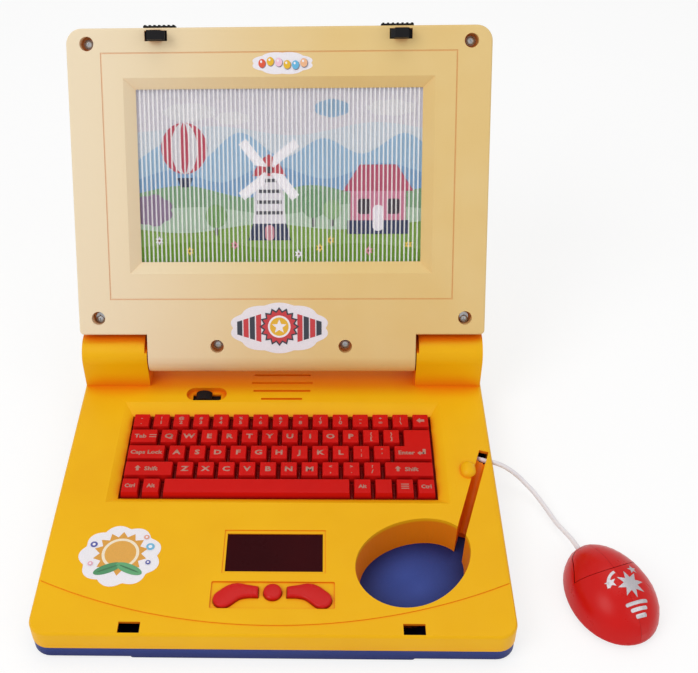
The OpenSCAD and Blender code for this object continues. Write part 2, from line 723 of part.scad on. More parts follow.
module speaker_magnet() color("#3A3A3E")
    translate([0, speaker_y, deck_under - speaker_depth - 5]) cylinder(r = 9, h = 5);

knob_x = switch_pos[0] - switch_travel / 2;

module switch_knob() color(black) {
    rest_z = deck_z - switch_drop;
    translate([knob_x, 0, rest_z]) along_y(switch_pos[1] - knob[1] / 2, switch_pos[1] + knob[1] / 2)
        polygon(arc([0, 0], 1, 0, 180, 16) * [[knob[0] / 2, 0], [0, knob[2]]]);
    box([knob_x - 3, switch_pos[1] - 2, rest_z - 7.2], [knob_x + 3, switch_pos[1] + 2, rest_z + eps]);
    box([knob_x - knob_plate / 2, switch_pos[1] - 4, rest_z - 2.4],
        [knob_x + knob_plate / 2, switch_pos[1] + 4, rest_z - 1.8]);
}

switch_ear_z = deck_z - 7;

module switch_body() color("#2B2B2E") difference() {
    union() {
        box([switch_pos[0] - 11, switch_pos[1] - 4.5, deck_z - 13],
            [switch_pos[0] + 11, switch_pos[1] + 4.5, switch_ear_z]);
        box([switch_pos[0] - switch_posts / 2 - 3, switch_pos[1] - 3.5, switch_ear_z - 1.4],
            [switch_pos[0] + switch_posts / 2 + 3, switch_pos[1] + 3.5, switch_ear_z]);
    }
    box([switch_pos[0] - 6, switch_pos[1] - 2.5, deck_z - 11.2],
        [switch_pos[0] + 6, switch_pos[1] + 2.5, deck_z]);
}

// ---------- hinge and lid ----------

module hinge_rod(r, from, to) translate([from, hinge_y, hinge_z])
    rotate([0, 90, 0]) cylinder(r = r, h = to - from);

module hinge_pin_right() color(steel) hinge_rod(pin_r, pin_x[0], pin_x[1]);

module hinge_pin_left() color(steel) mirror([1, 0, 0]) hinge_rod(pin_r, pin_x[0], pin_x[1]);

module lid_outline(inset = 0) {
    x = lid_w / 2 - inset;
    r = lid_r - inset;
    rr = max(lid_rear_r - inset, 0.6);
    low = lid_front + inset;
    high = lid_rear - inset;
    polygon(concat(
        arc([x - rr, high - rr], rr, 0, 90, 5), arc([rr - x, high - rr], rr, 90, 180, 5),
        arc([r - x, low + r], r, 180, 270, 8), arc([x - r, low + r], r, 270, 360, 8)));
}

// The tongue between the towers, seen from the side
module tongue_side(inset, z0, z1) intersection() {
    polygon(concat(
        [[lid_rear - 25, lid_top_z - inset], [lid_rear - 25, bezel_z + inset]],
        arc([hinge_y + heel - heel_low_r, bezel_z + heel_low_r], heel_low_r - inset, 270, 360, 14),
        arc([hinge_y + heel - heel_top_r, lid_top_z - heel_top_r], heel_top_r - inset, 0, 90, 10)));
    translate([-big, z0]) square([2 * big, z1 - z0]);
}

module tongue(inset, z0, z1)
    along_x(-tongue_w / 2 + inset, tongue_w / 2 - inset) tongue_side(inset, z0, z1);

// Half a lid from z0 up to z1, its upper edge rounded
module soft_lid(h, edge) hull() {
    linear_extrude(h - edge) lid_outline();
    for (a = [30, 60, 90])
        linear_extrude(h - edge + edge * sin(a)) lid_outline(edge * (1 - cos(a)));
}

module window_frustum(grow_low, grow_high, z0, z1) {
    x = window_w / 2;
    frustum([-x - grow_low, x + grow_low], [-x - grow_high, x + grow_high],
        [window_y[0] - grow_low, window_y[1] + grow_low],
        [window_y[0] - grow_high, window_y[1] + grow_high], z0, z1);
}

module window_plate(grow, z0, z1)
    box([-window_w / 2 - grow, window_y[0] - grow, z0], [window_w / 2 + grow, window_y[1] + grow, z1]);

backing_z = lens_z + lens_t + card_t;
sheet_edge = 3.5;       // of the lens and the card, behind the window's frame
backing_tab = 13;       // how far the backing plate's screw tabs reach
backing_screw_at = [for (x = [-1, 1], y = [window_y[0] + 12, window_y[1] - 12])
    [x * (window_w / 2 + backing_tab - 4), y]];
latch_plate_z = bezel_z + wall;
latch_plate_h = 2.4;
latch_plate_side = 7;

module lid_bezel() color(cream) opened() difference() {
    union() {
        difference() {
            union() {
                translate([0, 0, lid_seam_z]) mirror([0, 0, 1])
                    soft_lid(lid_seam_z - bezel_z, bezel_edge);
                tongue(0, bezel_z, lid_seam_z);
            }
            translate([0, 0, bezel_z + wall]) linear_extrude(lid_seam_z) lid_outline(wall);
            tongue(wall, bezel_z, lid_seam_z + 1);
        }
        window_frustum(bevel_w + wall, wall + 2, bezel_z + 0.5, lens_z);
        at(lid_screw_at) boss(screw_well_r + 1.4, bezel_z + 0.5, lid_seam_z);
        at(backing_screw_at) boss(2.6, bezel_z + 1, backing_z);
    }
    window_plate(0, bezel_z - 1, lens_z + 1);
    window_frustum(bevel_w + bevel_w / bevel_depth, 0, bezel_z - 1, lens_z);
    translate([0, 0, bezel_z - 1]) linear_extrude(1.4) difference() {
        translate([-step_w / 2, step_y[0]]) square([step_w, step_y[1] - step_y[0]]);
        translate([-step_w / 2 + step_line, step_y[0] + step_line])
            square([step_w - 2 * step_line, step_y[1] - step_y[0] - 2 * step_line]);
    }
    at(lid_screw_at) {
        boss(screw_well_r, bezel_z - 1, lid_seam_z - 2);
        boss(shank_r + 0.2, bezel_z, lid_seam_z + 1);
    }
    at(backing_screw_at) boss(shank_r, bezel_z + wall, backing_z + 1);
    for (side = [0, 1]) mirror([side, 0, 0]) {
        box([latch_x[0] - latch_barb - 0.3, latch_y[0] - 0.3, bezel_z - 1],
            [latch_x[1] + latch_travel + 0.3, latch_y[1] + 0.3, latch_plate_z + 1]);
        box([latch_x[0] - 3.3, lid_front - 1, latch_plate_z + 0.2],
            [latch_x[1] - 1 + latch_travel, lid_front + wall + 1, latch_plate_z + 2.4]);
        hinge_rod(pin_r + 2.3, tongue_w / 2 - hinge_boss - 1.5, tongue_w / 2 + 1);
    }
}

module lid_back() color(cream) opened() difference() {
    union() {
        difference() {
            union() {
                translate([0, 0, lid_seam_z]) soft_lid(lid_top_z - lid_seam_z, lid_edge);
                tongue(0, lid_seam_z, lid_top_z);
            }
            translate([0, 0, lid_seam_z - 1]) linear_extrude(lid_top_z - lid_seam_z + 1 - wall)
                lid_outline(wall + 0.8);
            tongue(wall, lid_seam_z - 1, lid_top_z);
        }
        at(lid_screw_at) boss(3.4, lid_seam_z, lid_top_z - 1);
        for (side = [0, 1]) mirror([side, 0, 0]) {
            hinge_rod(pin_r + 2.1, tongue_w / 2 - hinge_boss, tongue_w / 2);
            box([tongue_w / 2 - hinge_boss, hinge_y - 3, hinge_z],
                [tongue_w / 2 - hinge_boss + 2, hinge_y + 3, lid_top_z - 1]);
            // posts that hold the latch slides down
            for (x = [latch_x[0] - 4, latch_x[1] + 1]) translate([x, latch_y[1] + 2.2, 0])
                boss(1.2, latch_plate_z + latch_plate_h + 0.15, lid_top_z - 1);
        }
    }
    at(lid_screw_at) boss(shank_r, 0, lid_seam_z + shank_l - 1.5);
    for (side = [0, 1]) mirror([side, 0, 0])
        hinge_rod(pin_r + 0.05, tongue_w / 2 - hinge_boss - 0.5, tongue_w / 2 + 1);
}

module lid_screws() color(steel) opened()
    at(lid_screw_at) translate([0, 0, lid_seam_z - 2]) screw();

// Clear sheet with upright ribs on its outer face
module screen_lens() color([0.9, 0.93, 0.95, 0.35]) opened() {
    ribs = floor((window_w - 1) / rib_pitch);
    start = -ribs * rib_pitch / 2;
    window_plate(sheet_edge, lens_z, lens_z + lens_t);
    along_y(window_y[0] + 0.3, window_y[1] - 0.3) polygon(concat(
        [[start, lens_z + eps]],
        [for (i = [0 : ribs - 1], p = [[0, 0], [0.22, -0.8], [0.5, -1], [0.78, -0.8]])
            [start + (i + p[0]) * rib_pitch, lens_z + p[1] * rib_h]],
        [[start + ribs * rib_pitch, lens_z], [start + ribs * rib_pitch, lens_z + eps]]));
}

module picture_card() color("#BFD3E6") opened()
    window_plate(sheet_edge, lens_z + lens_t, backing_z);

module card_backing() color("#ECE7DC") opened() difference() {
    union() {
        window_plate(sheet_edge + 1.5, backing_z, backing_z + backing_t);
        box([-window_w / 2 - backing_tab, window_y[0] + backing_tab / 2, backing_z],
            [window_w / 2 + backing_tab, window_y[1] - backing_tab / 2, backing_z + backing_t]);
    }
    at(backing_screw_at) boss(shank_r + 0.2, 0, big);
}

module card_backing_screws() color(steel) opened()
    at(backing_screw_at) translate([0, 0, backing_z + backing_t]) mirror([0, 0, 1]) screw(6);

// Slide with a hook below the bezel and a ribbed pad on the lid's edge
module latch() {
    foot_z = deck_under - 0.3 - barb_h;
    box([latch_x[0] - latch_plate_side, latch_y[0] + 0.5, latch_plate_z],
        [latch_x[1] + 4.5, latch_y[1] + 4, latch_plate_z + latch_plate_h]);
    box([latch_x[0], latch_y[0], foot_z], [latch_x[1], latch_y[1], latch_plate_z + 1]);
    along_y(latch_y[0] + 0.6, latch_y[1]) polygon([[latch_x[0] + eps, foot_z],
        [latch_x[0] - latch_barb, foot_z + 1.2], [latch_x[0] - latch_barb, foot_z + barb_h],
        [latch_x[0] + eps, foot_z + barb_h]]);
    box([latch_x[0] - 3, lid_front - 0.4, latch_plate_z + 0.4],
        [latch_x[1] - 1.3, latch_y[0] + 1, latch_plate_z + 2.2]);
    box([latch_x[0] - 8.2, lid_front - 1.2, bezel_z + 1], [latch_x[1] + 3.6, lid_front - 0.2, bezel_z + 7]);
    for (i = [0 : 6]) box([latch_x[0] - 7.4 + i * 3, lid_front - 1.8, bezel_z + 1.5],
        [latch_x[0] - 6.2 + i * 3, lid_front - 1.2 + eps, bezel_z + 6.5]);
}

module latch_right() color(black) opened() latch();

module latch_left() color(black) opened() mirror([1, 0, 0]) latch();

// ---------- mouse ----------

module placed_mouse() translate([mouse_at[0], mouse_at[1], 0]) rotate(mouse_turn) children();

// Dome of egg-shaped rings that shrink to a point
module mouse_dome(inset) {
    n = 34;
    layers = 7;
    rise = mouse_h - mouse_skirt_z - inset;
    foot = egg(mouse_l / 2 - inset, mouse_w / 2 - inset, egg_taper, n);
    low = [for (p = foot) [p[0], p[1], -1]];
    rings = [for (k = [0 : layers - 1], p = foot) let (a = k * 90 / layers)
        [p[0] * cos(a), p[1] * cos(a), rise * sin(a)]];
    translate([0, 0, mouse_skirt_z]) rotate(90) polyhedron(
        concat(low, rings, [[0, 0, rise]]),
        concat([[for (i = [n - 1 : -1 : 0]) i]],
            [for (k = [0 : layers - 1], i = [0 : n - 1]) let (j = (i + 1) % n)
                [k * n + j, k * n + i, (k + 1) * n + i, (k + 1) * n + j]],
            [for (i = [0 : n - 1]) [layers * n + (i + 1) % n, layers * n + i, (layers + 1) * n]]));
}

module button_outline(grow) intersection() {
    translate([0, button_arc[0]]) circle(r = button_arc[1] + grow, $fn = 90);
    polygon([[-19.8 - grow, 0], [19.8 + grow, 0], [19.8 + grow, 7], [11.5 + grow, 24],
        [7.5 + grow, 27.5 + grow], [-7.5 - grow, 27.5 + grow], [-11.5 - grow, 24], [-19.8 - grow, 7]]);
}

module half_space(side) translate([side < 0 ? -big - seam_gap / 2 : seam_gap / 2, -big / 2, -1])
    cube([big, big, big]);

module dome_shell() difference() {
    intersection() {
        mouse_dome(0);
        translate([-big / 2, -big / 2, mouse_skirt_z]) cube(big);
    }
    mouse_dome(mouse_wall);
}

module nose_hole() translate([0, mouse_l / 2 - 8, nose_z]) rotate([-90, 0, 0])
    cylinder(r = cord_d / 2 + 0.5, h = 20);

mouse_screw_at = [[-10, -18], [10, -18]];

module mouse_shell(side) difference() {
    intersection() {
        union() {
            dome_shell();
            intersection() {
                at(mouse_screw_at) boss(3, mouse_skirt_z, big);
                mouse_dome(mouse_wall / 2);
            }
        }
        half_space(side);
    }
    linear_extrude(big) button_outline(button_gap);
    at(mouse_screw_at) boss(shank_r, 0, mouse_skirt_z + 7);
    nose_hole();
}

module mouse_shell_left() color(red) placed_mouse() mouse_shell(-1);

module mouse_shell_right() color(red) placed_mouse() mouse_shell(1);

pivot = [2, 15];        // y and z of the buttons' pivot
pivot_x = [5, 14];

module mouse_button(side) {
    intersection() {
        union() {
            dome_shell();
            mirror([side < 0 ? 1 : 0, 0, 0]) {
                box([pivot_x[0], pivot[0] + 0.2, pivot[1] + slack], [pivot_x[1], pivot[0] + 1.8, big]);
                box([8, 16, mouse_board_z + board_t + 4.6], [10, 20, big]);
            }
        }
        intersection() {
            mouse_dome(mouse_wall / 2);
            half_space(side);
            linear_extrude(big) button_outline(0);
        }
    }
    intersection() {
        dome_shell();
        half_space(side);
        linear_extrude(big) button_outline(0);
    }
    mirror([side < 0 ? 1 : 0, 0, 0]) translate([pivot_x[0], pivot[0], pivot[1]])
        rotate([0, 90, 0]) cylinder(r = 1.4, h = pivot_x[1] - pivot_x[0]);
}

module mouse_button_left() color(red) placed_mouse() mouse_button(-1);

module mouse_button_right() color(red) placed_mouse() mouse_button(1);

module mouse_base() color(red) placed_mouse() difference() {
    union() {
        hull() for (k = [0, 1]) translate([0, 0, 0.8 + k * 2]) rotate(90)
            linear_extrude(mouse_skirt_z - 0.8 - k * 2)
                polygon(egg(mouse_l / 2 - 3 + 3 * k, mouse_w / 2 - 3 + 3 * k, egg_taper, 48));
        for (side = [-1, 1]) translate([side * (pivot_x[0] + pivot_x[1]) / 2, pivot[0], 0])
            box([-3, -2.6, mouse_skirt_z - 1], [3, 2.6, pivot[1]]);
        for (x = [-8, 8], y = [10, 20]) translate([x, y, 0]) boss(2, mouse_skirt_z - 1, mouse_board_z);
        box([-4, 20, mouse_skirt_z - 1], [4, 24.5, mouse_board_z]);
    }
    for (side = [0, 1]) mirror([side, 0, 0]) translate([pivot_x[0] - 3, pivot[0], pivot[1]])
        rotate([0, 90, 0]) cylinder(r = 1.45, h = 20);
    at(mouse_screw_at) {
        boss(shank_r + 0.2, 0, big);
        boss(head_r + 0.2, 0, 2.8);
    }
    nose_hole();
}

module mouse_feet() color(black) placed_mouse()
    at([[-12, -14], [12, -14], [-9, 17], [9, 17]]) boss(3, 0, 0.8);

module mouse_board() color("#1E6B3A") placed_mouse()
    box([-12, 8, mouse_board_z], [12, 23, mouse_board_z + board_t]);

module mouse_switches() color(black) placed_mouse()
    for (x = [-9, 9]) translate([x, 18, mouse_board_z + board_t]) {
        translate([-3, -3, 0]) cube([6, 6, 2.6]);
        translate([0, 0, 2.6 - eps]) cylinder(r = 1.5, h = 0.7);
    }

module mouse_screws() color(steel) placed_mouse()
    at(mouse_screw_at) translate([0, 0, 2.8]) screw(7);

// ---------- cord ----------

function unit(v) = v / norm(v);
function heading(p, i) = unit(p[min(i + 1, len(p) - 1)] - p[max(i - 1, 0)]);
function ring(centre, along, r, n) = let (s = unit(cross(along, [0, 0, 1])), t = cross(s, along))
    [for (k = [0 : n - 1]) centre + r * cos(360 * k / n) * s + r * sin(360 * k / n) * t];

module mouse_cord() color("white") {
    n = 8;
    last = len(cord_path) - 1;
    polyhedron(
        [for (i = [0 : last]) each ring(cord_path[i], heading(cord_path, i), cord_d / 2, n)],
        concat([[for (k = [0 : n - 1]) k]],
            [for (i = [0 : last - 1], k = [0 : n - 1]) let (m = (k + 1) % n)
                [i * n + m, i * n + k, (i + 1) * n + k, (i + 1) * n + m]],
            [[for (k = [n - 1 : -1 : 0]) last * n + k]]));
}

clamp = [cord_path[0][0], cord_path[0][1], 17];

module cord_clamp() color(black) translate(clamp)
    translate([-4.5, -2, -5]) cube([6, 6.5, 5]);

base_top_shell();
base_bottom_shell();
base_screws();
battery_door();
battery_door_screw();
batteries();
battery_contacts();
key_panel();
key_mat();
key_board();
board_screws();
sound_chip();
display_lens();
display_board();
display_leds();
left_button();
center_button();
right_button();
button_mat();
speaker_basket();
speaker_cone();
speaker_magnet();
switch_knob();
switch_body();
hinge_pin_left();
hinge_pin_right();
lid_bezel();
lid_back();
lid_screws();
screen_lens();
picture_card();
card_backing();
card_backing_screws();
latch_left();
latch_right();
mouse_base();
mouse_shell_left();
mouse_shell_right();
mouse_button_left();
mouse_button_right();
mouse_board();
mouse_switches();
mouse_feet();
mouse_screws();
mouse_cord();
cord_clamp();
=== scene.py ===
import json
import math
import bmesh
import bpy
from mathutils import Matrix, Vector
from mathutils.bvhtree import BVHTree


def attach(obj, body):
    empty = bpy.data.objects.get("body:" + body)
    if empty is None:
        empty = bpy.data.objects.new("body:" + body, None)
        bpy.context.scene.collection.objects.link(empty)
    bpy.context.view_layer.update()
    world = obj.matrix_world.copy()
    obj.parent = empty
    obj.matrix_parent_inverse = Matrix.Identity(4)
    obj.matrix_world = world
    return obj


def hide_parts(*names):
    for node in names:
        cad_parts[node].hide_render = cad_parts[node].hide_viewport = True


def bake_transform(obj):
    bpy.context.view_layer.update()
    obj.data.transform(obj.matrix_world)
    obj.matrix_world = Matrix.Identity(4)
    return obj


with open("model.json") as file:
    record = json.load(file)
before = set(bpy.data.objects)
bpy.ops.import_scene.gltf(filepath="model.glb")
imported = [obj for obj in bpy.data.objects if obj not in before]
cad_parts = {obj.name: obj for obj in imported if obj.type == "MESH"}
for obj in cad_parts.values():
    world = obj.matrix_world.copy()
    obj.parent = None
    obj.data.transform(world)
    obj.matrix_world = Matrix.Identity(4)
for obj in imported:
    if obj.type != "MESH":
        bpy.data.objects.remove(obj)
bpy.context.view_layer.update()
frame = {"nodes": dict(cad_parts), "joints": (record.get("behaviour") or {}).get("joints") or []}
nodes = frame["nodes"]
joints = {joint["name"]: joint for joint in frame["joints"]}
mm = 0.001  # lengths below are in millimetres where no note says metres
print("frame loaded with", len(nodes), "nodes")

# places

lidJoint = joints["lid_hinge"]
hingeAt = Vector(lidJoint["pos_m"])
openAngle = math.radians(lidJoint["range_deg"][1])
# what is drawn on the closed lid turns with this to where the lid stands open
lidPlace = Matrix.Translation(hingeAt) @ Matrix.Rotation(-openAngle, 4, "X") @ Matrix.Translation(-hingeAt)

mouse = {"x": 193.1, "y": -73.4, "turn": 20.3}  # turn is in degrees

# camera

# place and near are in metres, turn in radians, and focal, width and centre in the picture's pixels
camera = {"place": (0.03149, -0.45988, 0.53002), "turn": (0.865628, 0.022146, 0.024686),
          "focal": 1090, "width": 698, "centre": 292.17, "sensor": 36, "near": 0.01}


def makeCamera():
    data = bpy.data.cameras.new("camera")
    data.sensor_width = camera["sensor"]
    data.lens = camera["sensor"] * camera["focal"] / camera["width"]
    data.shift_x = (camera["width"] / 2 - camera["centre"]) / camera["width"]
    data.clip_start = camera["near"]
    view = bpy.data.objects.new("camera", data)
    view.location = camera["place"]
    view.rotation_euler = camera["turn"]
    bpy.context.scene.collection.objects.link(view)
    bpy.context.scene.camera = view


makeCamera()
print("camera placed")

# materials

# what every moulded face shares: its patches and rubbed spots in millimetres, the values between which noise
# turns from low to high, how far the shine varies, and the share of light that counts as open
moulding = {"patch": 45, "rub": 9, "low": 0.3, "high": 0.7, "glossier": 0.04, "duller": 0.05, "open": 0.9,
            "bump": 0.4, "roughness": 0.55, "samples": 8}
# what every steel face shares: the values between which its scratches turn from low to high, what they do to
# its shine, their depth in millimetres, and the tone of the metal where it is worn
steel = {"low": 0.25, "high": 0.75, "glossier": 0.1, "duller": 0.12, "depth": 0.02, "bump": 0.5,
         "worn": "#8F9296"}
# where along X the painted light on the lid turns from its paler lit side to its plain colour, in metres
paintedLightRamp = {"paintedLitSide": -0.14, "yellow": 0.06}


# a colour's sRGB hex value as linear light
def linear(code):
    parts = [int(code[i:i + 2], 16) / 255 for i in (1, 3, 5)]
    return [p / 12.92 if p <= 0.04045 else ((p + 0.055) / 1.055) ** 2.4 for p in parts] + [1]


# settings are the node's own values; links name its inputs, each a value or another node's output
def addNode(tree, kind, links=None, **settings):
    node = tree.nodes.new(kind)
    for name, value in settings.items():
        setattr(node, name, value)
    for name, value in (links or {}).items():
        if isinstance(value, bpy.types.NodeSocket):
            tree.links.new(value, node.inputs[name])
        else:
            node.inputs[name].default_value = value
    return node


def newMaterial(name):
    material = bpy.data.materials.new(name)
    material.use_nodes = True
    material.node_tree.nodes.clear()
    return material, material.node_tree


# noise whose lumps are about size millimetres across
def objectNoise(tree, size, detail=2.0):
    place = addNode(tree, "ShaderNodeTexCoord")
    return addNode(tree, "ShaderNodeTexNoise", {
        "Vector": place.outputs["Object"], "Scale": 1000 / size, "Detail": detail,
        "Roughness": moulding["roughness"]})


def objectAxes(tree):
    place = addNode(tree, "ShaderNodeTexCoord")
    return addNode(tree, "ShaderNodeSeparateXYZ", {"Vector": place.outputs["Object"]}).outputs


# the painted shade of a round bowl in the deck: 1 inside it, 0 outside it and above its rim; at, radius and
# rim are in millimetres
def insideBowl(tree, bowl):
    place = addNode(tree, "ShaderNodeTexCoord")
    flat = addNode(tree, "ShaderNodeVectorMath", {
        0: place.outputs["Object"], 1: (1, 1, 0)}, operation="MULTIPLY")
    middle = [v * mm for v in bowl["at"]] + [0]
    away = addNode(tree, "ShaderNodeVectorMath", {0: flat.outputs["Vector"], 1: middle}, operation="DISTANCE")
    near = addNode(tree, "ShaderNodeMath", {
        0: away.outputs["Value"], 1: bowl["radius"] * mm}, operation="LESS_THAN")
    low, high = (bowl["rim"] - bowl["fade"]) * mm, bowl["rim"] * mm
    under = addNode(tree, "ShaderNodeMapRange", {
        "Value": objectAxes(tree)["Z"], "From Min": low, "From Max": high, "To Min": bowl["share"],
        "To Max": 0.0})
    return addNode(tree, "ShaderNodeMath", {
        0: near.outputs["Value"], 1: under.outputs["Result"]}, operation="MULTIPLY").outputs["Value"]


# colour drifts in patches to shade, a second tone at random; painted shade turns it to deep near other faces,
# within reach millimetres, wholly so where only full of the open light is left; bowl is a place in the deck
# that painted shade fills with deep up to its rim; the pale colour given for one side is painted light, paler
# along X towards the lit left side; grain and depth are the texture in millimetres
def mouldedPlastic(name, colour, shade, roughness, grain, depth, deep=None, reach=8.0, full=0.2,
                   shine=0.2, paintedLitSide=None, bowl=None):
    material, tree = newMaterial(name)
    low, high = moulding["low"], moulding["high"]
    patches = objectNoise(tree, moulding["patch"])
    drift = addNode(tree, "ShaderNodeMapRange", {
        "Value": patches.outputs["Fac"], "From Min": low, "From Max": high, "To Min": 0.0, "To Max": 1.0})
    tint = addNode(tree, "ShaderNodeMix", {
        0: drift.outputs["Result"], 6: linear(colour), 7: linear(shade)}, data_type="RGBA").outputs[2]
    # painted light: the colour turns paler along X towards the lid's lit left side
    if paintedLitSide:
        side = addNode(tree, "ShaderNodeMapRange", {
            "Value": objectAxes(tree)["X"], "From Min": paintedLightRamp["paintedLitSide"], "From Max": paintedLightRamp["yellow"],
            "To Min": 0.0, "To Max": 1.0}, interpolation_type="SMOOTHSTEP")
        tint = addNode(tree, "ShaderNodeMix", {
            0: side.outputs["Result"], 6: linear(paintedLitSide), 7: tint}, data_type="RGBA").outputs[2]
    # painted shade: near other faces, and inside the bowl, the colour turns to the deep one
    if deep:
        nook = addNode(tree, "ShaderNodeAmbientOcclusion", {
            "Distance": reach * mm}, samples=moulding["samples"])
        share = addNode(tree, "ShaderNodeMapRange", {
            "Value": nook.outputs["AO"], "From Min": full, "From Max": moulding["open"], "To Min": 1.0,
            "To Max": 0.0}).outputs["Result"]
        if bowl:
            share = addNode(tree, "ShaderNodeMath", {
                0: share, 1: insideBowl(tree, bowl)}, operation="MAXIMUM").outputs["Value"]
        tint = addNode(tree, "ShaderNodeMix", {
            0: share, 6: tint, 7: linear(deep)}, data_type="RGBA").outputs[2]
    texture = objectNoise(tree, grain, 3)
    bump = addNode(tree, "ShaderNodeBump", {
        "Height": texture.outputs["Fac"], "Distance": depth * mm, "Strength": moulding["bump"]})
    rub = objectNoise(tree, moulding["rub"], 3)
    gloss = addNode(tree, "ShaderNodeMapRange", {
        "Value": rub.outputs["Fac"], "From Min": low, "From Max": high,
        "To Min": roughness - moulding["glossier"], "To Max": roughness + moulding["duller"]})
    shader = addNode(tree, "ShaderNodeBsdfPrincipled", {
        "Base Color": tint, "Roughness": gloss.outputs["Result"], "Normal": bump.outputs["Normal"],
        "IOR": 1.5, "Specular IOR Level": shine})
    addNode(tree, "ShaderNodeOutputMaterial", {"Surface": shader.outputs["BSDF"]})
    return material


# turned or pressed steel: scratches about scratch millimetres apart break the shine and show a greyer tone
def platedSteel(name, colour, roughness, scratch):
    material, tree = newMaterial(name)
    lines = objectNoise(tree, scratch, 6)
    gloss = addNode(tree, "ShaderNodeMapRange", {
        "Value": lines.outputs["Fac"], "From Min": steel["low"], "From Max": steel["high"],
        "To Min": roughness - steel["glossier"], "To Max": roughness + steel["duller"]})
    tint = addNode(tree, "ShaderNodeMix", {
        0: lines.outputs["Fac"], 6: linear(colour), 7: linear(steel["worn"])}, data_type="RGBA")
    bump = addNode(tree, "ShaderNodeBump", {
        "Height": lines.outputs["Fac"], "Distance": steel["depth"] * mm, "Strength": steel["bump"]})
    shader = addNode(tree, "ShaderNodeBsdfPrincipled", {
        "Base Color": tint.outputs[2], "Metallic": 1.0, "Roughness": gloss.outputs["Result"],
        "Normal": bump.outputs["Normal"]})
    addNode(tree, "ShaderNodeOutputMaterial", {"Surface": shader.outputs["BSDF"]})
    return material


# the piece's own ink attribute gives the colours, and a fine dot screen breaks them up; level makes up for
# the light that a sheet over the print takes
def printedInk(name, roughness, coat, level=1.0, dot=0.5, spread=0.05):
    material, tree = newMaterial(name)
    ink = addNode(tree, "ShaderNodeAttribute", attribute_name="ink")
    dots = objectNoise(tree, dot, 1)
    screen = addNode(tree, "ShaderNodeMapRange", {
        "Value": dots.outputs["Fac"], "From Min": moulding["low"], "From Max": moulding["high"],
        "To Min": level * (1 - spread), "To Max": level * (1 + spread)})
    tone = addNode(tree, "ShaderNodeVectorMath", {
        0: ink.outputs["Color"], "Scale": screen.outputs["Result"]}, operation="SCALE")
    shader = addNode(tree, "ShaderNodeBsdfPrincipled", {
        "Base Color": tone.outputs["Vector"], "Roughness": roughness, "Coat Weight": coat,
        "Coat Roughness": 0.12})
    addNode(tree, "ShaderNodeOutputMaterial", {"Surface": shader.outputs["BSDF"]})
    return material


# clear moulded polystyrene: each rib's crest has a painted highlight, a white line for the light it gathers,
# and its flanks show the card behind; clear says how much the flanks hide, and the next value how much the
# painted white line hides; bright and dim are where across a rib the line begins to fade and where it ends,
# as shares of the pitch
def ribbedStyrene(name, pitch, clear, crestHighlight, bright=0.1, dim=0.19):
    material, tree = newMaterial(name)
    count = addNode(tree, "ShaderNodeMath", {
        0: objectAxes(tree)["X"], 1: 1000 / pitch, 2: 0.5}, operation="MULTIPLY_ADD")
    part = addNode(tree, "ShaderNodeMath", {0: count.outputs["Value"]}, operation="FRACT")
    off = addNode(tree, "ShaderNodeMath", {0: part.outputs["Value"], 1: 0.5}, operation="SUBTRACT")
    away = addNode(tree, "ShaderNodeMath", {0: off.outputs["Value"]}, operation="ABSOLUTE")
    crest = addNode(tree, "ShaderNodeMapRange", {
        "Value": away.outputs["Value"], "From Min": bright, "From Max": dim, "To Min": crestHighlight,
        "To Max": clear}, interpolation_type="SMOOTHSTEP")
    shader = addNode(tree, "ShaderNodeBsdfPrincipled", {
        "Base Color": linear("#FFFFFF"), "Roughness": 0.22, "Alpha": crest.outputs["Result"], "IOR": 1.59})
    addNode(tree, "ShaderNodeOutputMaterial", {"Surface": shader.outputs["BSDF"]})
    return material


# the bowl in the deck for the mouse, in millimetres, whose walls get painted shade, orange as they light each
# other; share is how much of it
mouseTray = {"at": (83, -63), "radius": 37, "rim": 21.6, "fade": 1.2, "share": 0.85}
# glossy ABS: a broad soft shine, and painted shade that deepens the colour to orange in the corners and the
# bowl
yellowAbs = mouldedPlastic("yellowAbs", "#F5BA0C", "#F1B309", 0.42, 0.9, 0.012, deep="#EC7A08", reach=18,
                           full=0.48, shine=0.16, bowl=mouseTray)
# red ABS, with painted shade that darkens it near other faces
redAbs = mouldedPlastic("redAbs", "#D0120F", "#C8100D", 0.3, 1.1, 0.012, deep="#8E0A08", reach=5)
# satin ABS; painted light makes it paler towards its left side, and painted shade gives its wells a warm
# orange
creamAbs = mouldedPlastic("creamAbs", "#E9CB8C", "#E7C683", 0.5, 0.5, 0.015, deep="#E59550", reach=6,
                          shine=0.16, paintedLitSide="#F1DFBF")
# blue ABS, with painted shade that turns it dark navy near other faces, as on the floor of the mouse's bowl
blueAbs = mouldedPlastic("blueAbs", "#3E54A6", "#394E9C", 0.5, 0.5, 0.015, deep="#171C54", reach=34,
                         full=0.45, shine=0.16)
# the keys' red ABS shines less, and painted shade makes it go dark between the keys
keyAbs = mouldedPlastic("keyAbs", "#D11310", "#C7100D", 0.38, 0.8, 0.01, deep="#5E0405", reach=3.2, shine=0.1)
# acetal, slippery and black, with a dull shine
blackAcetal = mouldedPlastic("blackAcetal", "#121113", "#19181A", 0.45, 0.6, 0.015, shine=0.12)
# dark red acrylic: a deep colour under a smooth, polished face
redAcrylic = mouldedPlastic("redAcrylic", "#2E060B", "#36080D", 0.3, 3.0, 0.003, shine=0.03)
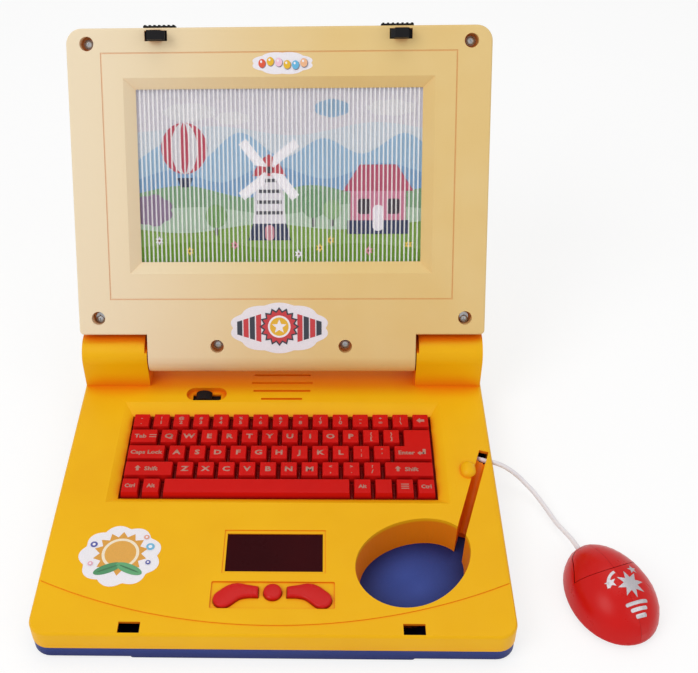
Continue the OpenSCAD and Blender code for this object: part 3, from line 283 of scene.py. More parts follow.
# inside the housing: matt silicone rubber, glossy board lacquer, thin shrink sleeve, frosted lamp resin and
# plain white polystyrene
siliconeRubber = mouldedPlastic("siliconeRubber", "#D6D1C8", "#CCC6BC", 0.6, 0.7, 0.02)
solderMask = mouldedPlastic("solderMask", "#1E6B3A", "#1A6034", 0.38, 1.5, 0.03)
printedSleeve = mouldedPlastic("printedSleeve", "#2F7D4F", "#276F45", 0.3, 2.0, 0.01)
frostedResin = mouldedPlastic("frostedResin", "#D9A3A3", "#CF9696", 0.35, 1.0, 0.02)
plainStyrene = mouldedPlastic("plainStyrene", "#ECE7DC", "#E5DFD2", 0.5, 0.8, 0.02)
# plasticised vinyl over the wires: smooth, white and a little greasy in its shine, with painted shade that
# greys it near other faces
cordVinyl = mouldedPlastic("cordVinyl", "#F3F0F3", "#EAE6EA", 0.4, 1.2, 0.015, deep="#BDB4BB", reach=5)
# pad-printed ink: a flat, thin film, duller than the key under it
legendInk = mouldedPlastic("legendInk", "#C08C7E", "#B27F72", 0.55, 0.4, 0.01, shine=0.1)
# zinc-plated steel, dulled by handling
zincSteel = platedSteel("zincSteel", "#BFC0C2", 0.36, 0.3)
# hot-stamped foil: bright metal that takes its tone from what stands round it
silverFoil = platedSteel("silverFoil", "#C9C0C4", 0.34, 0.5)
# sintered ferrite: dark grey, matt and a little gritty
darkFerrite = mouldedPlastic("darkFerrite", "#3A3A3E", "#333337", 0.5, 0.5, 0.03)
# offset ink on board, matt; offset ink under a glossy film on the stickers
cardInk = printedInk("cardInk", 0.6, 0.0, 1.14)
stickerInk = printedInk("stickerInk", 0.4, 0.15)
ribPitch = 2.8  # millimetres from crest to crest
ribbedLens = ribbedStyrene("ribbedLens", ribPitch, 0.004, 0.5)

dress = [(yellowAbs, ["base_top_shell"]),
         (blueAbs, ["base_bottom_shell", "battery_door"]),
         (creamAbs, ["lid_bezel", "lid_back"]),
         (keyAbs, ["key_panel"]),
         (redAbs, ["left_button", "center_button", "right_button", "mouse_base", "mouse_shell_left",
                   "mouse_shell_right", "mouse_button_left", "mouse_button_right"]),
         (blackAcetal, ["switch_knob", "switch_body", "latch_left", "latch_right", "speaker_cone",
                        "cord_clamp", "mouse_switches", "mouse_feet", "sound_chip"]),
         (zincSteel, ["base_screws", "battery_door_screw", "board_screws", "lid_screws",
                      "card_backing_screws", "mouse_screws", "hinge_pin_left", "hinge_pin_right",
                      "battery_contacts", "speaker_basket"]),
         (printedSleeve, ["batteries"]), (darkFerrite, ["speaker_magnet"]),
         (siliconeRubber, ["key_mat", "button_mat"]),
         (solderMask, ["key_board", "display_board", "mouse_board"]),
         (redAcrylic, ["display_lens"]), (frostedResin, ["display_leds"]), (ribbedLens, ["screen_lens"]),
         (plainStyrene, ["picture_card", "card_backing"]), (cordVinyl, ["mouse_cord"])]
for material, names in dress:
    for name in names:
        nodes[name].data.materials.clear()
        nodes[name].data.materials.append(material)
print("materials on", sum(len(names) for material, names in dress), "nodes")

# softened edges of the moulded pieces

# weld is in metres, and angle in degrees
softEdges = {"weld": 0.00001, "angle": 32,
             "widths": {"base_top_shell": 0.5, "base_bottom_shell": 0.4, "lid_bezel": 0.4, "lid_back": 0.5,
                        "key_panel": 0.45, "display_lens": 0.2, "switch_knob": 0.3,
                        "latch_left": 0.25, "latch_right": 0.25, "battery_door": 0.3},
             "smooth": ["mouse_base", "mouse_shell_left", "mouse_shell_right", "mouse_button_left",
                        "mouse_button_right", "left_button", "center_button", "right_button",
                        "hinge_pin_left", "hinge_pin_right", "speaker_cone", "speaker_basket", "batteries",
                        "key_mat", "button_mat", "mouse_feet"]}


# a node tree that takes and gives geometry, and its inputs by name, each with the value it starts from
def newTree(name, values):
    tree = bpy.data.node_groups.new(name, "GeometryNodeTree")
    tree.interface.new_socket("Geometry", in_out="INPUT", socket_type="NodeSocketGeometry")
    for label, value in values.items():
        kind = "NodeSocketInt" if isinstance(value, int) else "NodeSocketFloat"
        tree.interface.new_socket(label, in_out="INPUT", socket_type=kind).default_value = value
    tree.interface.new_socket("Geometry", in_out="OUTPUT", socket_type="NodeSocketGeometry")
    return tree, addNode(tree, "NodeGroupInput").outputs


# rounds the shading over shallow edges and keeps it crisp over sharp ones
def shadeTree():
    tree, given = newTree("shadeByAngle", {"Sharp angle": math.radians(softEdges["angle"])})
    bare = addNode(tree, "GeometryNodeRemoveAttribute", {
        "Geometry": given["Geometry"], "Name": "custom_normal"})
    soft = addNode(tree, "GeometryNodeSetShadeSmooth", {
        "Geometry": bare.outputs["Geometry"], "Shade Smooth": True}, domain="FACE")
    turn = addNode(tree, "GeometryNodeInputMeshEdgeAngle")
    sharp = addNode(tree, "FunctionNodeCompare", {
        0: turn.outputs["Unsigned Angle"], 1: given["Sharp angle"]}, data_type="FLOAT",
        operation="GREATER_THAN")
    edges = addNode(tree, "GeometryNodeSetShadeSmooth", {
        "Geometry": soft.outputs["Geometry"], "Selection": sharp.outputs["Result"],
        "Shade Smooth": False}, domain="EDGE")
    addNode(tree, "NodeGroupOutput", {"Geometry": edges.outputs["Geometry"]})
    return tree


def softenEdges():
    tree = shadeTree()
    for name in list(softEdges["widths"]) + softEdges["smooth"]:
        node = nodes[name]
        weld = node.modifiers.new("joined", "WELD")
        weld.merge_threshold = softEdges["weld"]
        if name in softEdges["widths"]:
            bevel = node.modifiers.new("softEdge", "BEVEL")
            bevel.width = softEdges["widths"][name] * mm
            bevel.segments = 2
            bevel.limit_method = "ANGLE"
            bevel.angle_limit = math.radians(softEdges["angle"])
            bevel.use_clamp_overlap = True
        smooth = node.modifiers.new("shading", "NODES")
        smooth.node_group = tree
        if name in softEdges["widths"]:
            even = node.modifiers.new("evenShading", "WEIGHTED_NORMAL")
            even.keep_sharp = True
            even.weight = 100


softenEdges()
print("edges softened")

# the mouse's cord

cord = {"width": 3.0, "sides": 16, "steps": 6,
        "points": [(119, 27, 14.5), (122, 24, 16), (125.5, 21.3, 18), (129.2, 18.6, 19.3), (133, 17, 19.6),
                   (137, 16.2, 19.4), (142, 14.8, 18), (147, 13, 15.6), (152, 10.7, 12.4),
                   (156.5, 7.4, 9.2), (160.5, 3.4, 7), (164, -1.8, 5.2), (167, -7.6, 4.2),
                   (169.6, -13.6, 3.8), (172, -19.6, 3.8), (174.7, -25.4, 4.6), (177.1, -30.8, 5.6),
                   (179.2, -36.2, 6.3), (181.3, -41.8, 6.5), (183.2, -46.9, 6.5)],
        "exit": (133, 17, 19.6), "length": 107}


# a curve through every point, with steps pieces between two of them
def smoothLine(points, steps):
    ends = [points[0] * 2 - points[1]] + points + [points[-1] * 2 - points[-2]]
    line = []
    for i in range(1, len(ends) - 2):
        a, b, c, d = ends[i - 1:i + 3]
        for k in range(steps):
            t = k / steps
            line.append(0.5 * (2 * b + (c - a) * t + (2 * a - 5 * b + 4 * c - d) * t * t
                               + (3 * b - a - 3 * c + d) * t ** 3))
    return line + [points[-1]]


# a round bar along the line, closed at both ends
def tube(name, line, radius, sides, material):
    bm = bmesh.new()
    rings = []
    for i, centre in enumerate(line):
        along = (line[min(i + 1, len(line) - 1)] - line[max(i - 1, 0)]).normalized()
        across = along.cross(Vector((0, 0, 1))).normalized()
        up = across.cross(along)
        rings.append([])
        for k in range(sides):
            a = 2 * math.pi * k / sides
            rings[-1].append(bm.verts.new(centre + radius * (math.cos(a) * across + math.sin(a) * up)))
    for low, high in zip(rings, rings[1:]):
        for k in range(sides):
            bm.faces.new((low[k], low[(k + 1) % sides], high[(k + 1) % sides], high[k]))
    bm.faces.new(rings[0])
    bm.faces.new(rings[-1])
    return meshObject(name, bm, material, smooth=True)


# level, where given, is the height in metres that parts a flat film's upper faces from its lower ones, so
# that all of them can be turned outwards; a face lies flat where its normal is steep
def meshObject(name, bm, material, smooth=False, level=None, steep=0.9):
    bmesh.ops.recalc_face_normals(bm, faces=bm.faces)
    if level is not None:
        bm.normal_update()
        flat = [face for face in bm.faces if abs(face.normal.z) > steep]
        wrong = [face for face in flat if (face.normal.z > 0) != (face.calc_center_median().z > level)]
        bmesh.ops.reverse_faces(bm, faces=wrong)
    mesh = bpy.data.meshes.new(name)
    bm.to_mesh(mesh)
    bm.free()
    if smooth:
        mesh.polygons.foreach_set("use_smooth", [True] * len(mesh.polygons))
    mesh.materials.append(material)
    piece = bpy.data.objects.new(name, mesh)
    bpy.context.scene.collection.objects.link(piece)
    return piece


# the cord as a round tube along a smooth line through its points, in place of the model's own cord
def makeCord():
    line = smoothLine([Vector(p) * mm for p in cord["points"]], cord["steps"])
    piece = tube("mouseCord", line, cord["width"] / 2 * mm, cord["sides"], cordVinyl)
    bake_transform(piece)
    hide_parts("mouse_cord")


makeCord()
print("cord laid")

# shapes that the printed pieces share


# a closed flat plate: outline in millimetres, back and front are the heights of its two faces
def plate(bm, outline, back, front, colour=None):
    ink = bm.loops.layers.float_color.get("ink") or bm.loops.layers.float_color.new("ink")
    hidden = [bm.verts.new((x * mm, y * mm, back * mm)) for x, y in outline]
    shown = [bm.verts.new((x * mm, y * mm, front * mm)) for x, y in outline]
    faces = [bm.faces.new(hidden), bm.faces.new(shown)]
    for i in range(len(outline)):
        faces.append(bm.faces.new((hidden[i - 1], hidden[i], shown[i], shown[i - 1])))
    if colour:
        for face in faces:
            for loop in face.loops:
                loop[ink] = linear(colour)


# the point at distance r from (x, y) in the direction of angle degrees
def polar(x, y, r, angle):
    a = math.radians(angle)
    return x + r * math.cos(a), y + r * math.sin(a)


# a point turned about the origin
def turned(u, v, angle):
    a = math.radians(angle)
    return u * math.cos(a) - v * math.sin(a), u * math.sin(a) + v * math.cos(a)


def ellipse(x, y, wide, high, turn=0, count=36):
    points = []
    for i in range(count):
        u, v = polar(0, 0, 1, 360 * i / count)
        across, along = turned(wide / 2 * u, high / 2 * v, turn)
        points.append((x + across, y + along))
    return points


# a rounded blob whose edge swells count times, like a die-cut border or a cloud
def blob(x, y, wide, high, count, swell, samples=96):
    points = []
    for i in range(samples):
        a = 2 * math.pi * i / samples
        r = 1 + swell * abs(math.sin(count * a / 2)) - swell / 2
        points.append((x + wide / 2 * r * math.cos(a), y + high / 2 * r * math.sin(a)))
    return points


def star(x, y, outer, inner, count, turn=90):
    return [polar(x, y, inner if i % 2 else outer, turn + 180 * i / count) for i in range(2 * count)]


def rectangle(x0, y0, x1, y1):
    return [(x0, y0), (x1, y0), (x1, y1), (x0, y1)]


def rounded(x0, y0, x1, y1, r, steps=5):
    points = []
    corners = ((x1 - r, y1 - r), (x0 + r, y1 - r), (x0 + r, y0 + r), (x1 - r, y0 + r))
    for i, (x, y) in enumerate(corners):
        points += [polar(x, y, r, 90 * (i + k / steps)) for k in range(steps + 1)]
    return points


# an object's curve or modified mesh as a plain mesh, after which the object goes
def plainMesh(holder):
    bpy.context.scene.collection.objects.link(holder)
    bpy.context.view_layer.update()
    mesh = bpy.data.meshes.new_from_object(holder.evaluated_get(bpy.context.evaluated_depsgraph_get()))
    holder.modifiers.clear()
    bpy.data.objects.remove(holder)
    return mesh


# a capital's height as a share of the font's size, and how near to each other its points count as one
lettering = {"capital": 0.73, "join": 1e-4}


# text as a closed mesh, cap height and weight in millimetres, stretched across by wide
def addWord(bm, word, x, y, cap, back, front, wide=1.12, weight=0.16):
    size = cap / lettering["capital"]
    curve = bpy.data.curves.new("word", "FONT")
    curve.body = word
    curve.align_x = "CENTER"
    curve.align_y = "BOTTOM_BASELINE"
    curve.offset = weight / size
    curve.resolution_u = 2
    mesh = plainMesh(bpy.data.objects.new("word", curve))
    flat = bmesh.new()
    flat.from_mesh(mesh)
    bmesh.ops.remove_doubles(flat, verts=flat.verts, dist=lettering["join"])
    ring = bmesh.ops.extrude_face_region(flat, geom=flat.faces[:] + flat.edges[:], use_keep_orig=True)
    top = {v for v in ring["geom"] if isinstance(v, bmesh.types.BMVert)}
    for v in flat.verts:
        v.co = Vector(((x + v.co.x * size * wide) * mm, (y - cap / 2 + v.co.y * size) * mm,
                       (front if v in top else back) * mm))
    copied = bpy.data.meshes.new("word")
    flat.to_mesh(copied)
    flat.free()
    bm.from_mesh(copied)
    bpy.data.curves.remove(curve)
    bpy.data.meshes.remove(mesh)
    bpy.data.meshes.remove(copied)


print("shapes ready")

# legends on the keys

# rows count from the back, and places in a row are in key widths from the left; middle is where the rows have
# their middle, and letters gives a row, where it starts and what its keys say
legends = {"pitch": 13.12, "rowPitch": 14.3, "units": 15, "middle": 21.65, "rows": 5, "top": 23.1,
           "sink": 0.03, "film": 0.03, "letter": 4.0, "digit": 3.0, "sign": 2.4, "word": 3.3, "upper": 2.1,
           "lower": -1.9, "bar": 0.35,
           "numbers": [("-", "."), ("!", "1"), ("@", "2"), ("#", "3"), ("$", "4"), ("%", "5"), ("^", "6"),
                       ("&", "7"), ("*", "8"), ("(", "9"), (")", "0"), ("_", "-"), ("+", "="), ("|", "\\")],
           "letters": [(1, 1.5, "QWERTYUIOP"), (2, 2, "ASDFGHJKL"), (3, 2.5, "ZXCVBNM")],
           "signs": {1: [(11.5, "{", "["), (12.5, "}", "]")], 2: [(11, ":", ";"), (12, "\"", "'")],
                     3: [(9.5, "<", ","), (10.5, ">", "."), (11.5, "?", "/")]}}


# the middle of a key that starts so many units from the panel's left edge
def keyPlace(row, unit, width=1):
    x = (unit + width / 2 - legends["units"] / 2) * legends["pitch"]
    y = legends["middle"] + (legends["rows"] / 2 - row - 0.5) * legends["rowPitch"]
    return x, y


def makeLegends():
    bm = bmesh.new()
    back, front = legends["top"] - legends["sink"], legends["top"] + legends["film"]

    def word(text, x, y, cap, **looks):
        addWord(bm, text, x, y, cap, back, front, **looks)

    def arrow(x, y, size, angle):
        shape = [(0, 1), (-0.85, 0.1), (-0.38, 0.1), (-0.38, -0.9), (0.38, -0.9), (0.38, 0.1), (0.85, 0.1)]
        points = [turned(size * u, size * v, angle) for u, v in shape]
        plate(bm, [(x + u, y + v) for u, v in points], back, front)

    def bar(x0, x1, y):
        plate(bm, rectangle(x0, y - legends["bar"], x1, y + legends["bar"]), back, front)

    def pair(x, y, upper, lower):
        word(upper, x, y + legends["upper"], legends["sign"], weight=0.1)
        word(lower, x, y + legends["lower"], legends["digit"], weight=0.12)

    for i, (upper, lower) in enumerate(legends["numbers"]):
        pair(*keyPlace(0, i), upper, lower)
    x, y = keyPlace(0, 14)
    arrow(x, y, 2.7, 90)
    x, y = keyPlace(1, 0, 1.5)
    word("Tab", x - 2.2, y, legends["word"])
    for lift in (0.9, -0.9):
        bar(x + 3.6, x + 8.2, y + lift)
    for row, start, letters in legends["letters"]:
        for i, letter in enumerate(letters):
            x, y = keyPlace(row, start + i)
            word(letter, x, y, legends["letter"], wide=1.25, weight=0.22)
    for row, marks in legends["signs"].items():
        for unit, upper, lower in marks:
            pair(*keyPlace(row, unit), upper, lower)
    x, y = keyPlace(2, 0, 2)
    word("Caps Lock", x, y, legends["word"], wide=1.05)
    x, y = keyPlace(2, 13, 2)
    word("Enter", x - 4.2, y, legends["word"], wide=1.05)
    arrow(x + 4.9, y - 0.6, 2.2, 90)
    plate(bm, rectangle(x + 6.2, y - 1.4, x + 8.1, y + 3), back, front)  # the arrow's bent tail
    for unit in (0, 12.5):
        x, y = keyPlace(3, unit, 2.5)
        arrow(x - 7, y + 0.2, 2.3, 0)
        word("Shift", x + 1.5, y, legends["word"], wide=1.05)
    for unit, text in ((0, "Ctrl"), (1, "Alt"), (11, "Alt"), (14, "Ctrl")):
        x, y = keyPlace(4, unit)
        word(text, x, y, legends["word"] * 0.92, wide=0.95)
    x, y = keyPlace(4, 13)
    for lift in (1.7, 0, -1.7):
        bar(x - 2.4, x + 2.4, y + lift)
    piece = meshObject("keyLegends", bm, legendInk, level=(back + front) / 2 * mm)
    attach(piece, "key_panel")


makeLegends()
print("key legends printed")

# picture card

# the window shows heights from 0 to high, and foot is the place on the closed lid of height 0; reach is what
# the card has beyond the window
picture = {"half": 95.35, "high": 111.5, "foot": 34.4, "reach": 3.4, "back": 35.5, "face": 35.0, "sink": 0.1,
           "film": 0.012}


class Picture:
    def __init__(self):
        self.bm = bmesh.new()
        self.face = picture["face"]

    # each shape lies a film nearer to the eye than the last; the picture's top is at the closed lid's front
    def put(self, outline, colour):
        back = self.face + picture["sink"] if self.face < picture["face"] else picture["back"]
        self.face -= picture["film"]
        edge, reach = picture["half"], picture["reach"]
        low, high = -reach, picture["high"] + reach
        kept = [(min(max(x, -edge), edge), picture["foot"] - min(max(v, low), high)) for x, v in outline]
        plate(self.bm, kept, back, self.face, colour)


# the ground under a smooth line of hills
def hill(points, base=-4, steps=8):
    line = smoothLine([Vector((x, v, 0)) for x, v in points], steps)
    return [(p.x, p.y) for p in line] + [(points[-1][0], base), (points[0][0], base)]


def makePicture():
    card = Picture()
    put = card.put
    put(rectangle(-99, -5, 99, 120), "#E4E0EB")
    put(hill([(-99, 84), (-40, 88), (10, 82), (60, 90), (99, 85)]), "#DAE4F0")
    for x, v, wide, high in ((-58, 97, 34, 11), (-30, 93, 22, 8), (72, 99, 30, 10)):
        put(blob(x, v, wide, high, 7, 0.16), "#EEEDF3")
    put(blob(34, 99, 22, 11, 6, 0.1), "#9DC0DF")
    put(hill([(-99, 62), (-72, 78), (-52, 66), (-26, 84), (2, 68), (28, 80), (54, 70), (80, 83), (99, 72)]),
        "#A4C9E8")
    put(hill([(-99, 52), (-70, 60), (-38, 52), (-6, 63), (30, 54), (66, 64), (99, 56)]), "#84B0DA")
    put(hill([(-99, 44), (-62, 50), (-20, 42), (20, 50), (60, 43), (99, 49)]), "#84B086")
    put(hill([(-99, 33), (-50, 36), (0, 31), (48, 38), (99, 34)]), "#B2D0B4")
    put(hill([(-99, 22), (-60, 19), (-10, 25), (40, 21), (99, 27)]), "#82AE48")
    put(hill([(-99, 9), (-50, 13), (0, 8), (52, 12), (99, 7)]), "#6C9C1E")
    # balloon over the hills
    put(ellipse(-62, 74, 30, 33), "#D24E68")
    put(ellipse(-62, 74, 17, 33), "#E7E4EC")
    put(ellipse(-62, 74, 6, 33), "#D24E68")
    put([(-67, 55), (-57, 55), (-59, 49), (-65, 49)], "#2C3558")
    # bush
    put(blob(-84, 34, 26, 20, 7, 0.14), "#8E7A96")
    # mill: a tower on a dark foot, a red cap and four pale sails
    put([(-21, 14), (7, 14), (4, 25), (-18, 25)], "#2C3558")
    put([(-18, 25), (4, 25), (1, 56), (-15, 56)], "#DDDAE2")
    for v in (31, 38, 45, 52):
        put(rectangle(-15.6 + (v - 31) * 0.08, v, 1.6 - (v - 31) * 0.08, v + 2.2), "#4A4A55")
    put([(-18, 56), (4, 56), (-1, 66), (-7, 70), (-13, 66)], "#BE4A58")
    for turn in (38, 128, 218, 308):
        corners = [turned(u, v, turn) for u, v in ((3, -0.7), (25, -0.7), (25, 5.5), (8, 5.5), (3, 0.7))]
        put([(u - 7, v + 60) for u, v in corners], "#F0EEF4")
    put(ellipse(-7, 60, 4.5, 4.5), "#3A3A45")
    put(rounded(-10, 14, -4, 24, 2.5), "#C98A98")
    # cottage at the right with a pink wall and a dark base
    put([(44, 18), (84, 18), (84, 27), (44, 27)], "#2C3558")
    put([(46, 27), (82, 27), (82, 47), (46, 47)], "#C77A96")
    put([(41, 46), (87, 46), (76, 63), (52, 63)], "#B5526F")
    for x in (51, 70):
        put(rounded(x, 31, x + 8, 41, 1.5), "#3A2F3C")
    put(rounded(60.5, 20, 67.5, 37, 3), "#E6E2EA")
    # round trees
    for x, v, wide, colour in ((22, 38, 17, "#6E9A70"), (34, 34, 12, "#86AC7A"), (-42, 30, 14, "#6E9A5A")):
        put(rectangle(x - 1, v - wide * 0.9, x + 1, v), "#55505A")
        put(ellipse(x, v, wide, wide * 1.1), colour)
    # flowers
    for x, v, colour in ((26, 9, "#E2C64A"), (33, 14, "#D9BE4E"), (-60, 7, "#E2C64A"), (-30, 11, "#D98A98"),
                         (58, 7, "#D98A98"), (84, 11, "#E2C64A"), (-80, 14, "#E6E2EA"), (12, 5, "#E6E2EA")):
        put(star(x, v, 3, 1.6, 6), colour)
        put(ellipse(x, v, 1.6, 1.6, count=12), "#6A5030")
    piece = meshObject("pictureCard", card.bm, cardInk)
    piece.data.transform(lidPlace)
    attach(piece, "lid")
    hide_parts("picture_card")


makePicture()
print("picture printed")

# ribbed sheet over the picture

# the ribs hang from the sheet's face, so their arc, which grows upwards, is turned over; fill is how much of
# its pitch each takes on either side of its crest
lens = {"half": 95.45, "low": -80.6, "high": 37.9, "face": 33.0, "back": 34.8, "count": 65, "ribHigh": 0.9,
        "ribLow": -76.8, "ribLong": 110.9, "fill": 0.499, "arcPoints": 9, "turn": 180}
ribSizes = {"Pitch": ribPitch * mm, "Rib height": lens["ribHigh"] * mm, "Rib length": lens["ribLong"] * mm,
            "Ribs": lens["count"]}
joinWithin = 1e-7  # vertices nearer to each other than this, in metres, become one


# a tree ends with its copies made real and dressed
def finishTree(tree, copies, material):
    real = addNode(tree, "GeometryNodeRealizeInstances", {"Geometry": copies})
    dressed = addNode(tree, "GeometryNodeSetMaterial", {
        "Geometry": real.outputs["Geometry"], "Material": material})
    addNode(tree, "NodeGroupOutput", {"Geometry": dressed.outputs["Geometry"]})


# half-round ribs side by side along X, each as long as the sheet is high
def ribTree():
    tree, given = newTree("ribRow", ribSizes)
    half = addNode(tree, "ShaderNodeMath", {
        0: given["Pitch"], 1: lens["fill"]}, operation="MULTIPLY").outputs[0]
    less = addNode(tree, "ShaderNodeMath", {0: half, 1: -1.0}, operation="MULTIPLY").outputs[0]
    start = addNode(tree, "ShaderNodeCombineXYZ", {"X": less})
    middle = addNode(tree, "ShaderNodeCombineXYZ", {"Y": given["Rib height"]})
    end = addNode(tree, "ShaderNodeCombineXYZ", {"X": half})
    arc = addNode(tree, "GeometryNodeCurveArc", {
        "Resolution": lens["arcPoints"], "Start": start.outputs[0], "Middle": middle.outputs[0],
        "End": end.outputs[0]}, mode="POINTS")
    shut = addNode(tree, "GeometryNodeSetSplineCyclic", {"Geometry": arc.outputs["Curve"], "Cyclic": True})
    reach = addNode(tree, "ShaderNodeCombineXYZ", {"Y": given["Rib length"]})
    run = addNode(tree, "GeometryNodeCurvePrimitiveLine", {"End": reach.outputs[0]})
    rib = addNode(tree, "GeometryNodeCurveToMesh", {
        "Curve": run.outputs["Curve"], "Profile Curve": shut.outputs["Geometry"], "Fill Caps": True})
    step = addNode(tree, "ShaderNodeCombineXYZ", {"X": given["Pitch"]})
    row = addNode(tree, "GeometryNodeMeshLine", {
        "Count": given["Ribs"], "Offset": step.outputs[0]}, mode="OFFSET")
    ribs = addNode(tree, "GeometryNodeInstanceOnPoints", {
        "Points": row.outputs["Mesh"], "Instance": rib.outputs["Mesh"]})
    finishTree(tree, ribs.outputs["Instances"], ribbedLens)
    return tree


# what a node tree makes, put in its seat, its doubles merged; values are set by each input's identifier
def grown(tree, values, start=None, seat=Matrix.Identity(4)):
    holder = bpy.data.objects.new("start", start or bpy.data.meshes.new("start"))
    modifier = holder.modifiers.new("grown", "NODES")
    modifier.node_group = tree
    for item in tree.interface.items_tree:
        if item.item_type == "SOCKET" and item.in_out == "INPUT" and item.name in values:
            modifier[item.identifier] = values[item.name]
    result = plainMesh(holder)
    result.transform(seat)
    bm = bmesh.new()
    bm.from_mesh(result)
    bmesh.ops.remove_doubles(bm, verts=bm.verts, dist=joinWithin)
    return bm


def makeLens():
    first = (lens["count"] - 1) / 2 * ribPitch * mm
    over = Matrix.Rotation(math.radians(lens["turn"]), 4, "Y")
    seat = Matrix.Translation((0, lens["ribLow"] * mm, lens["face"] * mm)) @ over
    bm = grown(ribTree(), ribSizes, seat=seat @ Matrix.Translation((-first, 0, 0)))
    plate(bm, rectangle(-lens["half"], lens["low"], lens["half"], lens["high"]), lens["back"], lens["face"])
    piece = meshObject("ribbedSheet", bm, ribbedLens)
    piece.data.transform(lidPlace)
    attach(piece, "lid")
    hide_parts("screen_lens")


makeLens()
print("ribbed sheet laid over the picture")

# screw heads

screwHead = {"radius": 2.86, "dome": 0.85, "cross": 3.1, "slot": 0.62, "deep": 0.7, "seed": 7, "segments": 28,
             "rings": 14, "lidFace": 35.3, "baseFace": 2.1,
             "lidAt": [(-121.5, -105.5), (121.5, -105.5), (-121.5, 73.5), (121.5, 73.5), (-42.7, 90.55),
                       (42.7, 90.55)],
             "baseAt": [(-122, -100), (122, -100), (-126, -12), (126, -37), (-84, 105.15), (84, 105.15)]}
screwSizes = {"Head radius": screwHead["radius"] * mm, "Dome height": screwHead["dome"] * mm,
              "Cross width": screwHead["cross"] * mm, "Slot width": screwHead["slot"] * mm,
              "Recess depth": screwHead["deep"] * mm, "Seed": screwHead["seed"]}


# a domed head with a cross recess on every point, each driven home at its own angle
def screwTree():
    tree, given = newTree("screwHeads", screwSizes)
    ball = addNode(tree, "GeometryNodeMeshUVSphere", {
        "Segments": screwHead["segments"], "Rings": screwHead["rings"], "Radius": 1.0})
    form = addNode(tree, "ShaderNodeCombineXYZ", {
        "X": given["Head radius"], "Y": given["Head radius"], "Z": given["Dome height"]})
    dome = addNode(tree, "GeometryNodeTransform", {
        "Geometry": ball.outputs["Mesh"], "Scale": form.outputs[0]})
    deep = addNode(tree, "ShaderNodeMath", {0: given["Recess depth"], 1: 2.0}, operation="MULTIPLY")
    lift = addNode(tree, "ShaderNodeCombineXYZ", {"Z": given["Dome height"]})
    cut = addNode(tree, "GeometryNodeMeshBoolean", {
        "Mesh 1": dome.outputs["Geometry"]}, operation="DIFFERENCE")
    for x, y in (("Cross width", "Slot width"), ("Slot width", "Cross width")):
        size = addNode(tree, "ShaderNodeCombineXYZ", {"X": given[x], "Y": given[y], "Z": deep.outputs[0]})
        bar = addNode(tree, "GeometryNodeMeshCube", {"Size": size.outputs[0]})
        moved = addNode(tree, "GeometryNodeTransform", {
            "Geometry": bar.outputs["Mesh"], "Translation": lift.outputs[0]})
        tree.links.new(moved.outputs["Geometry"], cut.inputs["Mesh 2"])
    spin = addNode(tree, "FunctionNodeRandomValue", {
        "Seed": given["Seed"], 2: 0.0, 3: math.pi / 2}, data_type="FLOAT")
    angle = addNode(tree, "ShaderNodeCombineXYZ", {"Z": spin.outputs[1]})
    heads = addNode(tree, "GeometryNodeInstanceOnPoints", {
        "Points": given["Geometry"], "Instance": cut.outputs["Mesh"], "Rotation": angle.outputs[0]})
    finishTree(tree, heads.outputs["Instances"], zincSteel)
    return tree


# every head faces down where the lid is closed, so the heads are laid out upside down and turned over
def makeScrewHeads(name, body, points, face, place):
    over = Matrix.Rotation(math.pi, 4, "X")
    start = bpy.data.meshes.new(name)
    start.from_pydata([(x * mm, -y * mm, -face * mm) for x, y in points], [], [])
    piece = meshObject(name, grown(screwHeads, screwSizes, start), zincSteel)
    piece.data.transform(place @ over)
    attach(piece, body)


screwHeads = screwTree()
makeScrewHeads("lidScrewHeads", "lid", screwHead["lidAt"], screwHead["lidFace"], lidPlace)
makeScrewHeads("baseScrewHeads", "base", screwHead["baseAt"], screwHead["baseFace"], Matrix.Identity(4))
print("screw heads driven in")

# stickers

# each label lies at the height seat, and its border swells, bumps times round, by swell of its size
stickers = {"film": 0.12, "ink": 0.03, "sink": 0.02,
            "small": {"at": (2.7, -92.6), "wide": 38, "high": 13.5, "bumps": 8, "swell": 0.09,
                      "seat": 28, "paper": "#EFEBF2"},
            "wide": {"at": (-1, 78), "wide": 64, "high": 33, "bumps": 10, "swell": 0.08,
                     "seat": 28, "paper": "#EDE9F0"},
            "deck": {"at": (-90, -61.5), "wide": 46, "high": 42, "bumps": 9, "swell": 0.12,
                     "seat": 23, "paper": "#EFEBF0"}}


class Sticker:
    # way is +1 where the sticker faces up with its top to the back, and -1 where both are turned over
    def __init__(self, shape, way):
        self.bm = bmesh.new()
        self.at, self.way, self.level = shape["at"], way, shape["seat"]
        border = blob(0, 0, shape["wide"], shape["high"], shape["bumps"], shape["swell"])
        self.put(border, shape["paper"], stickers["film"])

    def put(self, outline, colour, thick=stickers["ink"]):
        back = self.level - self.way * stickers["sink"]
        self.level += self.way * thick
        placed = [(self.at[0] + x, self.at[1] + self.way * y) for x, y in outline]
        plate(self.bm, placed, back, self.level, colour)

    def done(self, name, body, place):
        piece = meshObject(name, self.bm, stickerInk)
        piece.data.transform(place)
        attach(piece, body)


